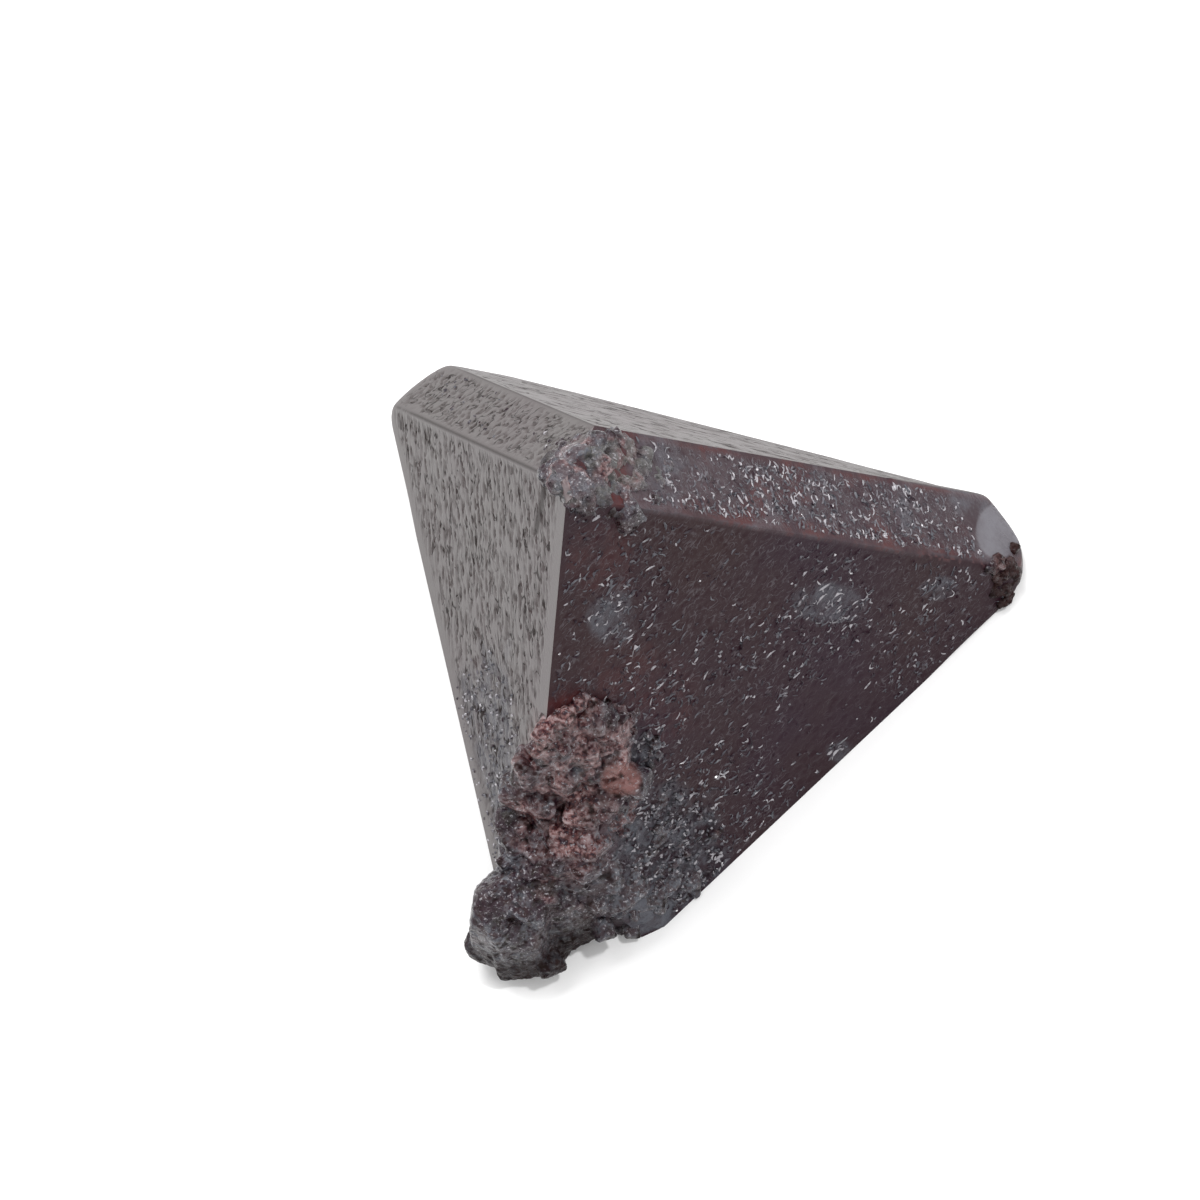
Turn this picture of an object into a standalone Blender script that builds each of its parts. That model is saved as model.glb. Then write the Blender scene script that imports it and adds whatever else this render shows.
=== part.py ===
"""Zunyite crystal: a tetrahedral crystal with bevelled edges, cut corners and a broken, lumpy tip.

The crystal rests on its hidden fourth face, which lies in the plane z = 0. Lengths are in millimetres
while the shape is worked out, and each finished mesh is scaled to metres once. Directions are given
as an azimuth from +X towards +Y and an elevation above the ground, in degrees. A facet is written as
azimuth, elevation and distance from the shape's centre.
"""

import math
import random

import bmesh
import bpy
import numpy as np
from mathutils import Matrix, Vector

NAME = "zunyite_crystal"
METRES = 0.001
WELD_REACH = 0.000001
SEED = 11

# The main tetrahedron, before anything is cut from it.
EDGE = 15.4
INRADIUS = EDGE / (2 * math.sqrt(6))
CENTRE = Vector((0, 0, INRADIUS))
FACE_ELEVATION = math.degrees(math.asin(1 / 3))
FACE_AZIMUTHS = {"back": 90, "left": 210, "right": 330}

# Distance from the tetrahedron's centre to each flat bevel along an edge.
BEVELS = {
    ("back", "left"): 4.55,
    ("back", "right"): 4.38,
    ("back", "base"): 4.38,
    ("left", "base"): 4.05,
}

# Small facets at the corners.
CORNER_FACETS = [
    (132, 0, 6.10),
    (110, 6, 4.95),
    (163, -6, 6.48),
    (176, 0, 6.16),
    (150, 24, 5.36),
    (34, 24, 5.35),
    (30, -19, 7.85),
    (356, 0, 6.42),
    (311, 16, 4.36),
    (269, 4, 5.55),
    (0, 90, 8.06),
]

# The fracture at the tip: a steep break, a sloping floor and a side wall, cut from a block in front.
BREAK_STEEP = (287, 6, 4.18)
BREAK_FLOOR = (262, 57, 2.90)
BREAK_SIDE = (333, 0, 2.99)
BREAK_BLOCK = 12.0
BREAK_BLOCK_CENTRE = (0, -8.0, 6.0)

# Lumps grown on the crystal: centre, then facets.
LUMPS = {
    "left_lump": (
        (-0.95, -6.40, 1.60),
        [
            *((190, 8, 0.42), (262, 8, 0.72), (225, 5, 0.68), (345, 5, 0.62)),
            *((80, 0, 0.90), (150, 12, 0.56), (135, 35, 0.86), (320, 42, 0.96)),
            *((240, 65, 1.20), (255, 40, 0.98), (215, -38, 1.20), (275, -42, 1.32)),
        ],
    ),
    "low_lump": (
        (-0.20, -6.65, 1.20),
        [
            *((292, 12, 0.40), (350, 10, 0.34), (215, 5, 0.80), (262, 10, 0.80)),
            *((165, 0, 0.60), (90, 0, 1.10), (280, 60, 0.85), (310, 38, 0.58)),
            *((240, 40, 0.95), (300, -40, 0.92), (250, -38, 1.16)),
        ],
    ),
    "right_lump": (
        (0.40, -5.85, 1.30),
        [
            *((15, 8, 0.44), (305, 12, 0.36), (265, 10, 0.52), (90, 0, 0.90)),
            *((190, 0, 0.90), (300, 56, 0.78), (350, 35, 0.60), (240, 45, 0.86)),
            (320, -40, 0.98),
        ],
    ),
    "corner_growth": (
        (0, 0, INRADIUS),
        [
            *((34, 24, 5.66), (80, 0, 5.20), (58, 0, 6.54), (40, 0, 7.32)),
            *((10, 0, 7.10), (352, 4, 6.20), (30, 35.26, 4.41), (90, 19.47, 3.16)),
            *((330, 19.47, 3.11), (208, 6, -5.10), (115, 0, 1.48), (85, -35, 5.35)),
            (25, -30, 7.92),
        ],
    ),
}
GROUND_CLEARANCE = 0.06

# Blocky crystals that fill the broken tip: centre, size along the three axes, turn about Z, tilt.
TIP_BLOCKS = {
    "shoulder": ((-0.52, -5.30, 2.52), (1.00, 1.05, 1.50), 16, 10),
    "middle": ((0.16, -5.22, 2.66), (1.15, 1.00, 1.40), 24, -8),
    "saddle": ((-0.32, -6.05, 2.00), (1.00, 1.00, 1.50), -8, 6),
}

# The slants at which a small crystal's corners and edges are sliced off, and how deep the slices go.
SLANTS = [(azimuth, 20) for azimuth in (40, 130, 215, 320)]
SLANTS += [(azimuth, 48) for azimuth in (10, 95, 185, 280)]
SLANTS += [(azimuth, -35) for azimuth in (60, 240)]
SLANT_JITTER = 16
SLICE_SHARE = (0.636, 0.826)

# Rubble on and around the fracture: centre, mean size.
RUBBLE = [
    ((0.20, -3.62, 6.72), 0.52),
    ((0.58, -3.46, 6.30), 0.50),
    ((0.90, -3.36, 5.66), 0.46),
    ((0.06, -4.00, 6.16), 0.56),
    ((0.52, -3.84, 5.66), 0.62),
    ((1.00, -3.72, 5.00), 0.56),
    ((1.22, -3.86, 4.28), 0.66),
    ((0.98, -4.22, 4.10), 0.52),
    ((-0.40, -4.24, 5.14), 0.62),
    ((0.16, -4.30, 4.90), 0.60),
    ((-0.74, -4.56, 4.20), 0.60),
    ((-0.22, -4.66, 4.14), 0.54),
    ((0.52, -4.56, 3.86), 0.58),
    ((0.82, -4.90, 3.22), 0.50),
    ((-0.86, -5.02, 3.34), 0.56),
    ((0.66, -5.36, 2.86), 0.50),
    ((-0.30, -5.70, 2.86), 0.48),
    ((0.12, -5.98, 2.42), 0.44),
    ((0.98, -6.02, 0.86), 0.42),
    ((-1.22, -6.98, 0.90), 0.50),
    ((0.16, -6.90, 0.72), 0.46),
]
RUBBLE_SPREAD = (0.8, 1.25)
RUBBLE_TILT = (-25, 25)

# Knobs on the blunt top corner and nicks in the corners and edges: centre, size.
KNOBS = [
    ((-0.17, 0.15, 10.41), 0.36),
    ((0.12, -0.07, 10.32), 0.38),
    ((0.16, -0.66, 10.68), 0.34),
    ((0.36, 0.65, 9.51), 0.36),
    ((0.12, 0.53, 9.90), 0.34),
    ((1.02, -0.04, 9.22), 0.32),
    ((-0.66, 0.50, 9.55), 0.32),
    ((0.68, 0.22, 9.44), 0.38),
]
NICKS = [
    ((-5.86, 3.02, 1.74), 0.26),
    ((6.34, 3.86, 0.30), 0.30),
    ((6.72, 3.36, 0.20), 0.22),
    ((0.42, 0.30, 10.30), 0.30),
    ((0.06, -0.36, 10.90), 0.24),
    ((0.68, -0.34, 10.20), 0.22),
    ((-0.02, -1.52, 10.42), 0.16),
]
NICK_SPREAD = (0.8, 1.3)
NICK_TILT = (0, 57)

# Etch pits and growth ridges: face, how many, length range, width range, turn from the slope.
PIT_SETS = [
    ("left", 60, (0.35, 0.90), (0.08, 0.14), 6),
    ("back", 36, (0.35, 0.90), (0.08, 0.14), 90),
    ("base", 14, (0.35, 0.80), (0.08, 0.14), 30),
]
RIDGE_SETS = [
    ("right", 60, (0.25, 0.60), (0.07, 0.12), 45),
    ("back", 14, (0.25, 0.55), (0.07, 0.12), 70),
]
PIT_DEPTH = 0.075
RIDGE_HEIGHT = 0.05
LENS_SIDES = 6
LENS_TURN_SPREAD = 14
LENS_GAP = 0.05
FACE_MARGIN = 1.75

# No pits or ridges where the tip is broken: in front of this Y and below this height.
TIP_FRONT = -2.6
TIP_HEIGHT = 7.4


def direction(azimuth, elevation):
    """The unit vector at an azimuth and an elevation."""
    across = math.cos(math.radians(elevation))
    return Vector(
        (
            across * math.cos(math.radians(azimuth)),
            across * math.sin(math.radians(azimuth)),
            math.sin(math.radians(elevation)),
        )
    )


def turn_and_tilt(turn, tilt):
    """A tilt about X followed by a turn about Z, in degrees."""
    return Matrix.Rotation(math.radians(turn), 4, "Z") @ Matrix.Rotation(math.radians(tilt), 4, "X")


def face_normals():
    """The outward normals of the tetrahedron's four faces."""
    normals = {key: direction(azimuth, FACE_ELEVATION) for key, azimuth in FACE_AZIMUTHS.items()}
    normals["base"] = Vector((0, 0, -1))
    return normals


def crystal_planes():
    """Every flat of the main crystal, as a normal and its distance from the centre."""
    normals = face_normals()
    planes = [(normal, INRADIUS) for normal in normals.values()]
    for (first, second), distance in BEVELS.items():
        planes.append(((normals[first] + normals[second]).normalized(), distance))
    for azimuth, elevation, distance in CORNER_FACETS:
        planes.append((direction(azimuth, elevation), distance))
    return planes


def new_collection(name):
    """A collection that hangs from the scene's own."""
    made = bpy.data.collections.new(name)
    bpy.context.scene.collection.children.link(made)
    return made


def block(size, turned=None):
    """A closed box about the origin, turned by a matrix."""
    body = bmesh.new()
    bmesh.ops.create_cube(body, size=1.0)
    bmesh.ops.scale(body, vec=Vector(size), verts=body.verts)
    if turned is not None:
        bmesh.ops.transform(body, matrix=turned, verts=body.verts)
    return body


def slice_off(body, point, normal):
    """Cuts away what lies beyond a plane, and closes the cut."""
    everything = body.verts[:] + body.edges[:] + body.faces[:]
    bmesh.ops.bisect_plane(body, geom=everything, plane_co=point, plane_no=normal, clear_outer=True)
    rim = [edge for edge in body.edges if edge.is_boundary]
    if rim:
        bmesh.ops.holes_fill(body, edges=rim, sides=0)


def clear_of_ground(body):
    """Cuts away whatever would come closer to the ground than the clearance."""
    slice_off(body, Vector((0, 0, GROUND_CLEARANCE)), Vector((0, 0, -1)))


def object_of(body, name, collection):
    """Puts a finished shape, in millimetres, into a mesh object in metres."""
    bmesh.ops.recalc_face_normals(body, faces=body.faces)
    bmesh.ops.scale(body, vec=Vector((METRES, METRES, METRES)), verts=body.verts)
    mesh = bpy.data.meshes.new(name)
    body.to_mesh(mesh)
    body.free()
    made = bpy.data.objects.new(name, mesh)
    collection.objects.link(made)
    return made


def guide(body, name, collection):
    """A shape that only joins or cuts the crystal, so it isn't rendered itself."""
    made = object_of(body, name, collection)
    made.hide_render = True
    made.display_type = "WIRE"


def main_crystal(collection):
    """The tetrahedron with its bevels and corner facets, sliced from one cube."""
    body = block((4 * EDGE,) * 3)
    for normal, distance in crystal_planes():
        slice_off(body, CENTRE + normal * distance, normal)
    return object_of(body, NAME, collection)


def break_cutter(collection):
    """The space that the fracture opened: in front of a steep break, above a floor, left of a wall."""
    body = block((BREAK_BLOCK,) * 3)
    bmesh.ops.translate(body, vec=Vector(BREAK_BLOCK_CENTRE), verts=body.verts)
    for azimuth, elevation, distance in (BREAK_STEEP, BREAK_FLOOR):
        normal = direction(azimuth, elevation)
        slice_off(body, CENTRE + normal * distance, -normal)
    azimuth, elevation, distance = BREAK_SIDE
    normal = direction(azimuth, elevation)
    slice_off(body, CENTRE + normal * distance, normal)
    guide(body, "break_cutter", collection)


def faceted_lump(centre, facets):
    """A small crystal sliced to its facets."""
    body = block((2 * EDGE,) * 3)
    bmesh.ops.translate(body, vec=Vector(centre), verts=body.verts)
    for azimuth, elevation, distance in facets:
        normal = direction(azimuth, elevation)
        slice_off(body, Vector(centre) + normal * distance, normal)
    clear_of_ground(body)
    return body


def jittered_slants(rng):
    """The slice directions, each turned a little at random."""
    for slant in SLANTS:
        turn = rng.uniform(-SLANT_JITTER, SLANT_JITTER)
        tilt = rng.uniform(-SLANT_JITTER, SLANT_JITTER)
        yield turn_and_tilt(turn, tilt).to_3x3() @ direction(*slant)


def crystallite(rng, centre, size, turn, tilt):
    """A small blocky crystal: a box with its edges and corners sliced off at seeded slants."""
    turned = turn_and_tilt(turn, tilt)
    body = block(size, turned)
    reach = Vector(size) / 2
    for normal in jittered_slants(rng):
        distance = rng.uniform(*SLICE_SHARE) * sum(abs(n * r) for n, r in zip(normal, reach))
        slice_off(body, turned @ (normal * distance), turned.to_3x3() @ normal)
    bmesh.ops.translate(body, vec=Vector(centre), verts=body.verts)
    clear_of_ground(body)
    return body


def tip_crystals(rng, collection):
    """The larger lumps at the tip and the corner, the rubble on the fracture, and the top's knobs."""
    for name, (centre, facets) in LUMPS.items():
        guide(faceted_lump(centre, facets), name, collection)
    for name, (centre, size, turn, tilt) in TIP_BLOCKS.items():
        guide(crystallite(rng, centre, size, turn, tilt), name, collection)
    for index, (centre, size) in enumerate(RUBBLE + KNOBS):
        sides = [size * rng.uniform(*RUBBLE_SPREAD) for _ in range(3)]
        body = crystallite(rng, centre, sides, rng.uniform(0, 90), rng.uniform(*RUBBLE_TILT))
        guide(body, f"rubble_{index:02d}", collection)


def nick_cutters(rng, collection):
    """Small chips out of the corners."""
    for index, (centre, size) in enumerate(NICKS):
        turned = turn_and_tilt(rng.uniform(0, 180), rng.uniform(*NICK_TILT))
        body = block([size * rng.uniform(*NICK_SPREAD) for _ in range(3)], turned)
        bmesh.ops.translate(body, vec=Vector(centre), verts=body.verts)
        guide(body, f"nick_{index:02d}", collection)


def face_frame(key):
    """A face's centre, its direction up the slope, the direction across it, and its normal."""
    normal = face_normals()[key]
    upward = Vector((0, 1, 0)) if key == "base" else Vector((0, 0, 1))
    upward = (upward - normal * upward.dot(normal)).normalized()
    return CENTRE + normal * INRADIUS, upward, upward.cross(normal), normal


def near_tip(point):
    """True where the broken tip leaves no flat face."""
    return point.y < TIP_FRONT and point.z < TIP_HEIGHT


def place_on_face(rng, key):
    """A seeded point on a face, well inside its edges and away from the broken tip."""
    centre, upward, across, _ = face_frame(key)
    corner = EDGE / math.sqrt(3)
    while True:
        u = rng.uniform(-EDGE / 2, EDGE / 2)
        v = rng.uniform(-corner / 2, corner)
        edges = [v * math.sin(math.radians(a)) + u * math.cos(math.radians(a)) for a in (30, 150, 270)]
        point = centre + across * u + upward * v
        if max(edges) < corner / 2 - FACE_MARGIN and not near_tip(point):
            return point


def lens(rng, key, point, lengths, widths, turn, height):
    """A slim six-sided bipyramid that lies on a face at a point."""
    _, upward, across, normal = face_frame(key)
    angle = math.radians(turn + rng.uniform(-LENS_TURN_SPREAD, LENS_TURN_SPREAD)) * rng.choice((-1, 1))
    along = upward * math.cos(angle) + across * math.sin(angle)
    body = bmesh.new()
    bmesh.ops.create_uvsphere(body, u_segments=LENS_SIDES, v_segments=2, radius=1.0)
    half_sizes = Vector((rng.uniform(*lengths) / 2, rng.uniform(*widths) / 2, height))
    axes = Matrix((along, normal.cross(along), normal)).transposed()
    bmesh.ops.scale(body, vec=half_sizes, verts=body.verts)
    bmesh.ops.transform(body, matrix=Matrix.Translation(point) @ axes.to_4x4(), verts=body.verts)
    return body, half_sizes.x


def scatter(rng, sets, height, stem, collection, placed):
    """Lens shapes over the faces, each kept clear of those already placed, and added to them."""
    for key, count, lengths, widths, turn in sets:
        made = 0
        while made < count:
            point = place_on_face(rng, key)
            body, reach = lens(rng, key, point, lengths, widths, turn, height)
            if any((point - other).length < reach + far + LENS_GAP for other, far in placed):
                body.free()
                continue
            placed.append((point, reach))
            guide(body, f"{stem}_{key}_{made:02d}", collection)
            made += 1


def boolean(target, operation, collection):
    """Joins or cuts with everything in a collection, exactly, and welds points that then coincide."""
    modifier = target.modifiers.new(collection.name, "BOOLEAN")
    modifier.operation = operation
    modifier.operand_type = "COLLECTION"
    modifier.collection = collection
    modifier.solver = "EXACT"
    modifier.use_self = True
    weld = target.modifiers.new(f"{collection.name}_weld", "WELD")
    weld.merge_threshold = WELD_REACH


def baked(made):
    """Replaces an object's mesh by the one its modifiers give."""
    graph = bpy.context.evaluated_depsgraph_get()
    mesh = bpy.data.meshes.new_from_object(made.evaluated_get(graph))
    made.modifiers.clear()
    made.data = mesh
    mesh.name = made.name


def to_footprint_centre(made):
    """Moves the mesh so that the origin is at the middle of its box, at the bottom."""
    points = np.empty(len(made.data.vertices) * 3)
    made.data.vertices.foreach_get("co", points)
    points = points.reshape(-1, 3)
    low, high = points.min(axis=0), points.max(axis=0)
    points -= ((low[0] + high[0]) / 2, (low[1] + high[1]) / 2, low[2])
    made.data.vertices.foreach_set("co", points.ravel())
    made.data.update()


def zunyite_material():
    """Vitreous, nearly opaque crystal, dark maroon brown."""
    made = bpy.data.materials.new("zunyite")
    made.use_nodes = True
    shader = made.node_tree.nodes["Principled BSDF"]
    shader.inputs["Base Color"].default_value = (0.055, 0.026, 0.030, 1)
    shader.inputs["Roughness"].default_value = 0.32
    shader.inputs["Metallic"].default_value = 0.0
    shader.inputs["IOR"].default_value = 1.60
    return made


def main():
    for old in list(bpy.data.objects):
        bpy.data.objects.remove(old, do_unlink=True)
    rng = random.Random(SEED)
    parts = new_collection("zunyite_crystal_part")
    breaks = new_collection("break_cutters")
    lumps = new_collection("tip_crystals")
    chips = new_collection("chip_cutters")
    ridges = new_collection("growth_ridges")
    crystal = main_crystal(parts)
    break_cutter(breaks)
    tip_crystals(rng, lumps)
    nick_cutters(rng, chips)
    placed = []
    scatter(rng, PIT_SETS, PIT_DEPTH, "pit", chips, placed)
    scatter(rng, RIDGE_SETS, RIDGE_HEIGHT, "ridge", ridges, placed)
    boolean(crystal, "DIFFERENCE", breaks)
    boolean(crystal, "UNION", ridges)
    boolean(crystal, "DIFFERENCE", chips)
    boolean(crystal, "UNION", lumps)
    baked(crystal)
    to_footprint_centre(crystal)
    crystal.data.materials.clear()
    crystal.data.materials.append(zunyite_material())


main()
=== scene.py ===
"""Zunyite crystal: a tetrahedron with bevelled edges, etched faces and a broken, lumpy tip.

Shapes are worked out in millimetres about the tetrahedron's axis, which stands at AXIS in the part's own
frame, and go into each mesh in metres. A plane is written as azimuth, elevation and distance from the
tetrahedron's centre.
"""

import functools
import math
import random

import bpy
import numpy as np
from mathutils import Matrix, Vector


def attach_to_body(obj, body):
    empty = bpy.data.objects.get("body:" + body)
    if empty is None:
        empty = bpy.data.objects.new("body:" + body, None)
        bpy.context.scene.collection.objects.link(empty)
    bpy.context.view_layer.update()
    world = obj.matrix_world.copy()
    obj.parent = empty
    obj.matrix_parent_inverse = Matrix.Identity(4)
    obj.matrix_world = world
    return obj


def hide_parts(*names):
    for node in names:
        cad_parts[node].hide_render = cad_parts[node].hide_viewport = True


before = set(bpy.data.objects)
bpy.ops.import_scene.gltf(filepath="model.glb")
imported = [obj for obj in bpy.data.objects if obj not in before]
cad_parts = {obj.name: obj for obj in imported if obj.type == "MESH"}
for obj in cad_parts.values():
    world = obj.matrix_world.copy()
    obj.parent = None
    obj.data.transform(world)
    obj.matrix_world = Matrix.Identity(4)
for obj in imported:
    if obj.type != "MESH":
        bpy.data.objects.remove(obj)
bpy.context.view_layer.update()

bl_info = {
    "name": "Zunyite Crystal",
    "version": (1, 0, 0),
    "blender": (4, 5, 0),
    "location": "View3D > Sidebar > Crystal",
    "description": "A tetrahedral zunyite crystal with etched faces and a broken, lumpy tip",
    "category": "Add Mesh",
}

# The camera: its place in millimetres, where it looks, its upward direction and its lens.
EYE = (18.9144, -24.5335, 102.4150)
FORWARD = (-0.18993, 0.24646, -0.95036)
UP = (-0.24822, 0.92448, 0.28936)
LENS_MM = 166.085
SENSOR_MM = 36.0
PHOTO_SIZE = 1200

NODE = "zunyite_crystal"
MM = 0.001
AXIS = np.array((-0.40723, 1.61057, 0.0))

EDGE = 15.4
INRADIUS = EDGE / (2 * math.sqrt(6))
CENTRE = np.array((0.0, 0.0, INRADIUS))
FACE_ELEVATION = math.degrees(math.asin(1 / 3))
GRID = 220
FAR = 1e4
FAR_ENOUGH = 100.0
WEAR_SHARPNESS = 110

# Below these a plane counts as parallel to a ray, two planes as one, and a length as nothing.
LEAST_SLOPE = 1e-6
LEAST_CREASE = 0.05
TINY = 1e-9

# Corners that are worn round: azimuth, elevation, and the cosines between which the wear sets in.
WORN = [(150, -19, 0.90, 0.97), (30, -19, 0.90, 0.97), (296, -6, 0.93, 0.985)]

FACES = {
    "back": (90, FACE_ELEVATION),
    "left": (210, FACE_ELEVATION),
    "right": (330, FACE_ELEVATION),
    "base": (0, -90),
}
BEVELS = {
    ("back", "left"): 4.55,
    ("back", "right"): 4.38,
    ("back", "base"): 4.38,
    ("left", "base"): 4.05,
}
CORNER_FACETS = [
    (132, 0, 6.10),
    (110, 6, 4.95),
    (163, -6, 6.48),
    (176, 0, 6.16),
    (150, 24, 5.36),
    (34, 24, 5.35),
    (30, -19, 7.85),
    (356, 0, 6.42),
    (311, 16, 4.36),
    (269, 4, 5.55),
    (0, 90, 8.06),
]
BREAK_STEEP = (287, 6, 4.18)
BREAK_FLOOR = (262, 57, 2.90)
BREAK_SIDE = (333, 0, 2.99)
CORNER_GROWTH_BACK = (28, -6, 5.10)
CONTINUES = {6: "back_right", 7: "back", 8: "right"}
CORNER_GROWTH = [
    (34, 24, 5.66),
    (80, 0, 5.20),
    (58, 0, 6.54),
    (40, 0, 7.32),
    (10, 0, 7.10),
    (352, 4, 6.20),
    (30, 35.26, 4.41),
    (90, 19.47, 3.16),
    (330, 19.47, 3.11),
    (115, 0, 1.48),
    (85, -35, 5.35),
    (25, -30, 7.92),
    (0, -90, INRADIUS - 0.06),
]

LUMPS = {
    "left_lump": (
        (-0.95, -6.40, 1.60),
        [
            *((190, 8, 0.42), (262, 8, 0.72), (225, 5, 0.68), (345, 5, 0.62)),
            *((80, 0, 0.90), (150, 12, 0.56), (135, 35, 0.86), (320, 42, 0.96)),
            *((240, 65, 1.20), (255, 40, 0.98), (215, -38, 1.20), (275, -42, 1.32)),
        ],
    ),
    "low_lump": (
        (-0.20, -6.65, 1.20),
        [
            *((292, 12, 0.40), (350, 10, 0.34), (215, 5, 0.80), (262, 10, 0.80)),
            *((165, 0, 0.60), (90, 0, 1.10), (280, 60, 0.85), (310, 38, 0.58)),
            *((240, 40, 0.95), (300, -40, 0.92), (250, -38, 1.16)),
        ],
    ),
    "right_lump": (
        (0.40, -5.85, 1.30),
        [
            *((15, 8, 0.44), (305, 12, 0.36), (265, 10, 0.52), (90, 0, 0.90)),
            *((190, 0, 0.90), (300, 56, 0.78), (350, 35, 0.60), (240, 45, 0.86)),
            (320, -40, 0.98),
        ],
    ),
}
GROUND_CLEARANCE = 0.06
TOP_HEIGHT = 11.19
CROWN_HEIGHT = 11.203

# A thin painted-shade line on the left face that sets off a narrow facet, in the photograph's pixels: from,
# to and half its width.
FACET_SHADE_LINE = ((546, 481), (536, 532), 4.0)

TIP_BLOCKS = [
    ((-0.52, -5.30, 2.52), (1.00, 1.05, 1.50), 16, 10),
    ((0.16, -5.22, 2.66), (1.15, 1.00, 1.40), 24, -8),
    ((-0.32, -6.05, 2.00), (1.00, 1.00, 1.50), -8, 6),
]
SLANTS = [(azimuth, 20) for azimuth in (40, 130, 215, 320)]
SLANTS += [(azimuth, 48) for azimuth in (10, 95, 185, 280)]
SLANTS += [(azimuth, -35) for azimuth in (60, 240)]
SLANT_JITTER = 16
SLICE_SHARE = (0.636, 0.826)
RUBBLE = [
    ((0.20, -3.62, 6.72), 0.52),
    ((0.58, -3.46, 6.30), 0.50),
    ((0.90, -3.36, 5.66), 0.46),
    ((0.06, -4.00, 6.16), 0.56),
    ((0.52, -3.84, 5.66), 0.62),
    ((1.00, -3.72, 5.00), 0.56),
    ((1.22, -3.86, 4.28), 0.66),
    ((0.98, -4.22, 4.10), 0.52),
    ((-0.40, -4.24, 5.14), 0.62),
    ((0.16, -4.30, 4.90), 0.60),
    ((-0.74, -4.56, 4.20), 0.60),
    ((-0.22, -4.66, 4.14), 0.54),
    ((0.52, -4.56, 3.86), 0.58),
    ((0.82, -4.90, 3.22), 0.50),
    ((-0.86, -5.02, 3.34), 0.56),
    ((0.66, -5.36, 2.86), 0.50),
    ((-0.30, -5.70, 2.86), 0.48),
    ((0.12, -5.98, 2.42), 0.44),
    ((0.98, -6.02, 0.86), 0.42),
    ((-1.22, -6.98, 0.90), 0.50),
    ((0.16, -6.90, 0.72), 0.46),
]
KNOBS = [
    ((-0.17, 0.15, 10.41), 0.36),
    ((0.12, -0.07, 10.32), 0.38),
    ((0.16, -0.66, 10.68), 0.34),
    ((0.36, 0.65, 9.51), 0.36),
    ((0.12, 0.53, 9.90), 0.34),
    ((1.02, -0.04, 9.22), 0.32),
    ((-0.66, 0.50, 9.55), 0.32),
    ((0.68, 0.22, 9.44), 0.38),
]
RUBBLE_SPREAD = (0.8, 1.25)
RUBBLE_TILT = (-25, 25)
CRYSTALLITE_SEED = 11


def linear(hex_colour):
    """An sRGB hex colour as a linear one with alpha."""
    parts = np.array([int(hex_colour[i : i + 2], 16) for i in (1, 3, 5)]) / 255
    straight = np.where(parts <= 0.04045, parts / 12.92, ((parts + 0.055) / 1.055) ** 2.4)
    return (*straight.tolist(), 1.0)


# Shapes worked out with numpy


def unit(vectors):
    """Vectors divided by their own lengths."""
    return vectors / np.linalg.norm(vectors, axis=-1, keepdims=True)


def direction(azimuth, elevation):
    """The unit vector at an azimuth and an elevation."""
    a, e = math.radians(azimuth), math.radians(elevation)
    return np.array((math.cos(e) * math.cos(a), math.cos(e) * math.sin(a), math.sin(e)))


def smoothstep(low, high, x):
    """0 below low, 1 above high, and 3t^2 - 2t^3 of the share t between them."""
    t = np.clip((x - low) / (high - low), 0, 1)
    return t * t * (3 - 2 * t)


NOISE_CELLS = 32
NOISE_TABLE = np.random.default_rng(5).random((NOISE_CELLS,) * 3)
NOISE_START = 97.3
OCTAVE_SHIFT = 31.7
COBBLE_START = 57.1


def noise(points, size):
    """Value noise from 0 to 1: random numbers on a cubic lattice of the given size, blended with the weights
    3t^2 - 2t^3."""
    scaled = points / size + NOISE_START
    cell = np.floor(scaled).astype(int)
    t = scaled - cell
    t = t * t * (3 - 2 * t)
    total = np.zeros(len(points))
    for corner in np.ndindex(2, 2, 2):
        weight = np.prod(np.where(corner, t, 1 - t), axis=1)
        total += weight * NOISE_TABLE[tuple(((cell + corner) % NOISE_CELLS).T)]
    return total


def rough_noise(points, size, octaves=3):
    """Value noise summed over octaves, each half as wide and half as strong, about 0."""
    total, strength = np.zeros(len(points)), 1.0
    for octave in range(octaves):
        total += strength * (noise(points + OCTAVE_SHIFT * octave, size / 2**octave) - 0.5)
        strength /= 2
    return total


def cobbles(points, size):
    """Rounded grains: the distance to the nearest of one random point in each cell of a cubic lattice, in
    cells, from 0 at a grain's middle to about 1 between grains."""
    scaled = points / size + COBBLE_START
    cell = np.floor(scaled).astype(int)
    nearest = np.full(len(points), np.inf)
    for step in np.ndindex(3, 3, 3):
        home = cell + step - 1
        index = tuple((home % NOISE_CELLS).T)
        orders = (index, index[::-1], index[1:] + index[:1])
        jitter = np.stack([NOISE_TABLE[order] for order in orders], axis=1)
        nearest = np.minimum(nearest, np.linalg.norm(scaled - home - jitter, axis=1))
    return nearest


def crystal_planes():
    """The normals, distances and names of the main crystal's flats."""
    normals = {key: direction(*turn) for key, turn in FACES.items()}
    rows = [(normals[key], INRADIUS, key) for key in FACES]
    for (first, second), distance in BEVELS.items():
        rows.append((unit(normals[first] + normals[second]), distance, f"{first}_{second}"))
    for index, (azimuth, elevation, distance) in enumerate(CORNER_FACETS):
        rows.append((direction(azimuth, elevation), distance, f"corner_{index}"))
    return np.array([r[0] for r in rows]), np.array([r[1] for r in rows]), [r[2] for r in rows]


def reaches(rays, normals, distances):
    """How far along each ray from the centre each plane lies; endless where the ray never meets it."""
    slope = rays @ normals.T
    return np.where(slope > LEAST_SLOPE, distances / np.maximum(slope, LEAST_SLOPE), FAR)


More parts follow.
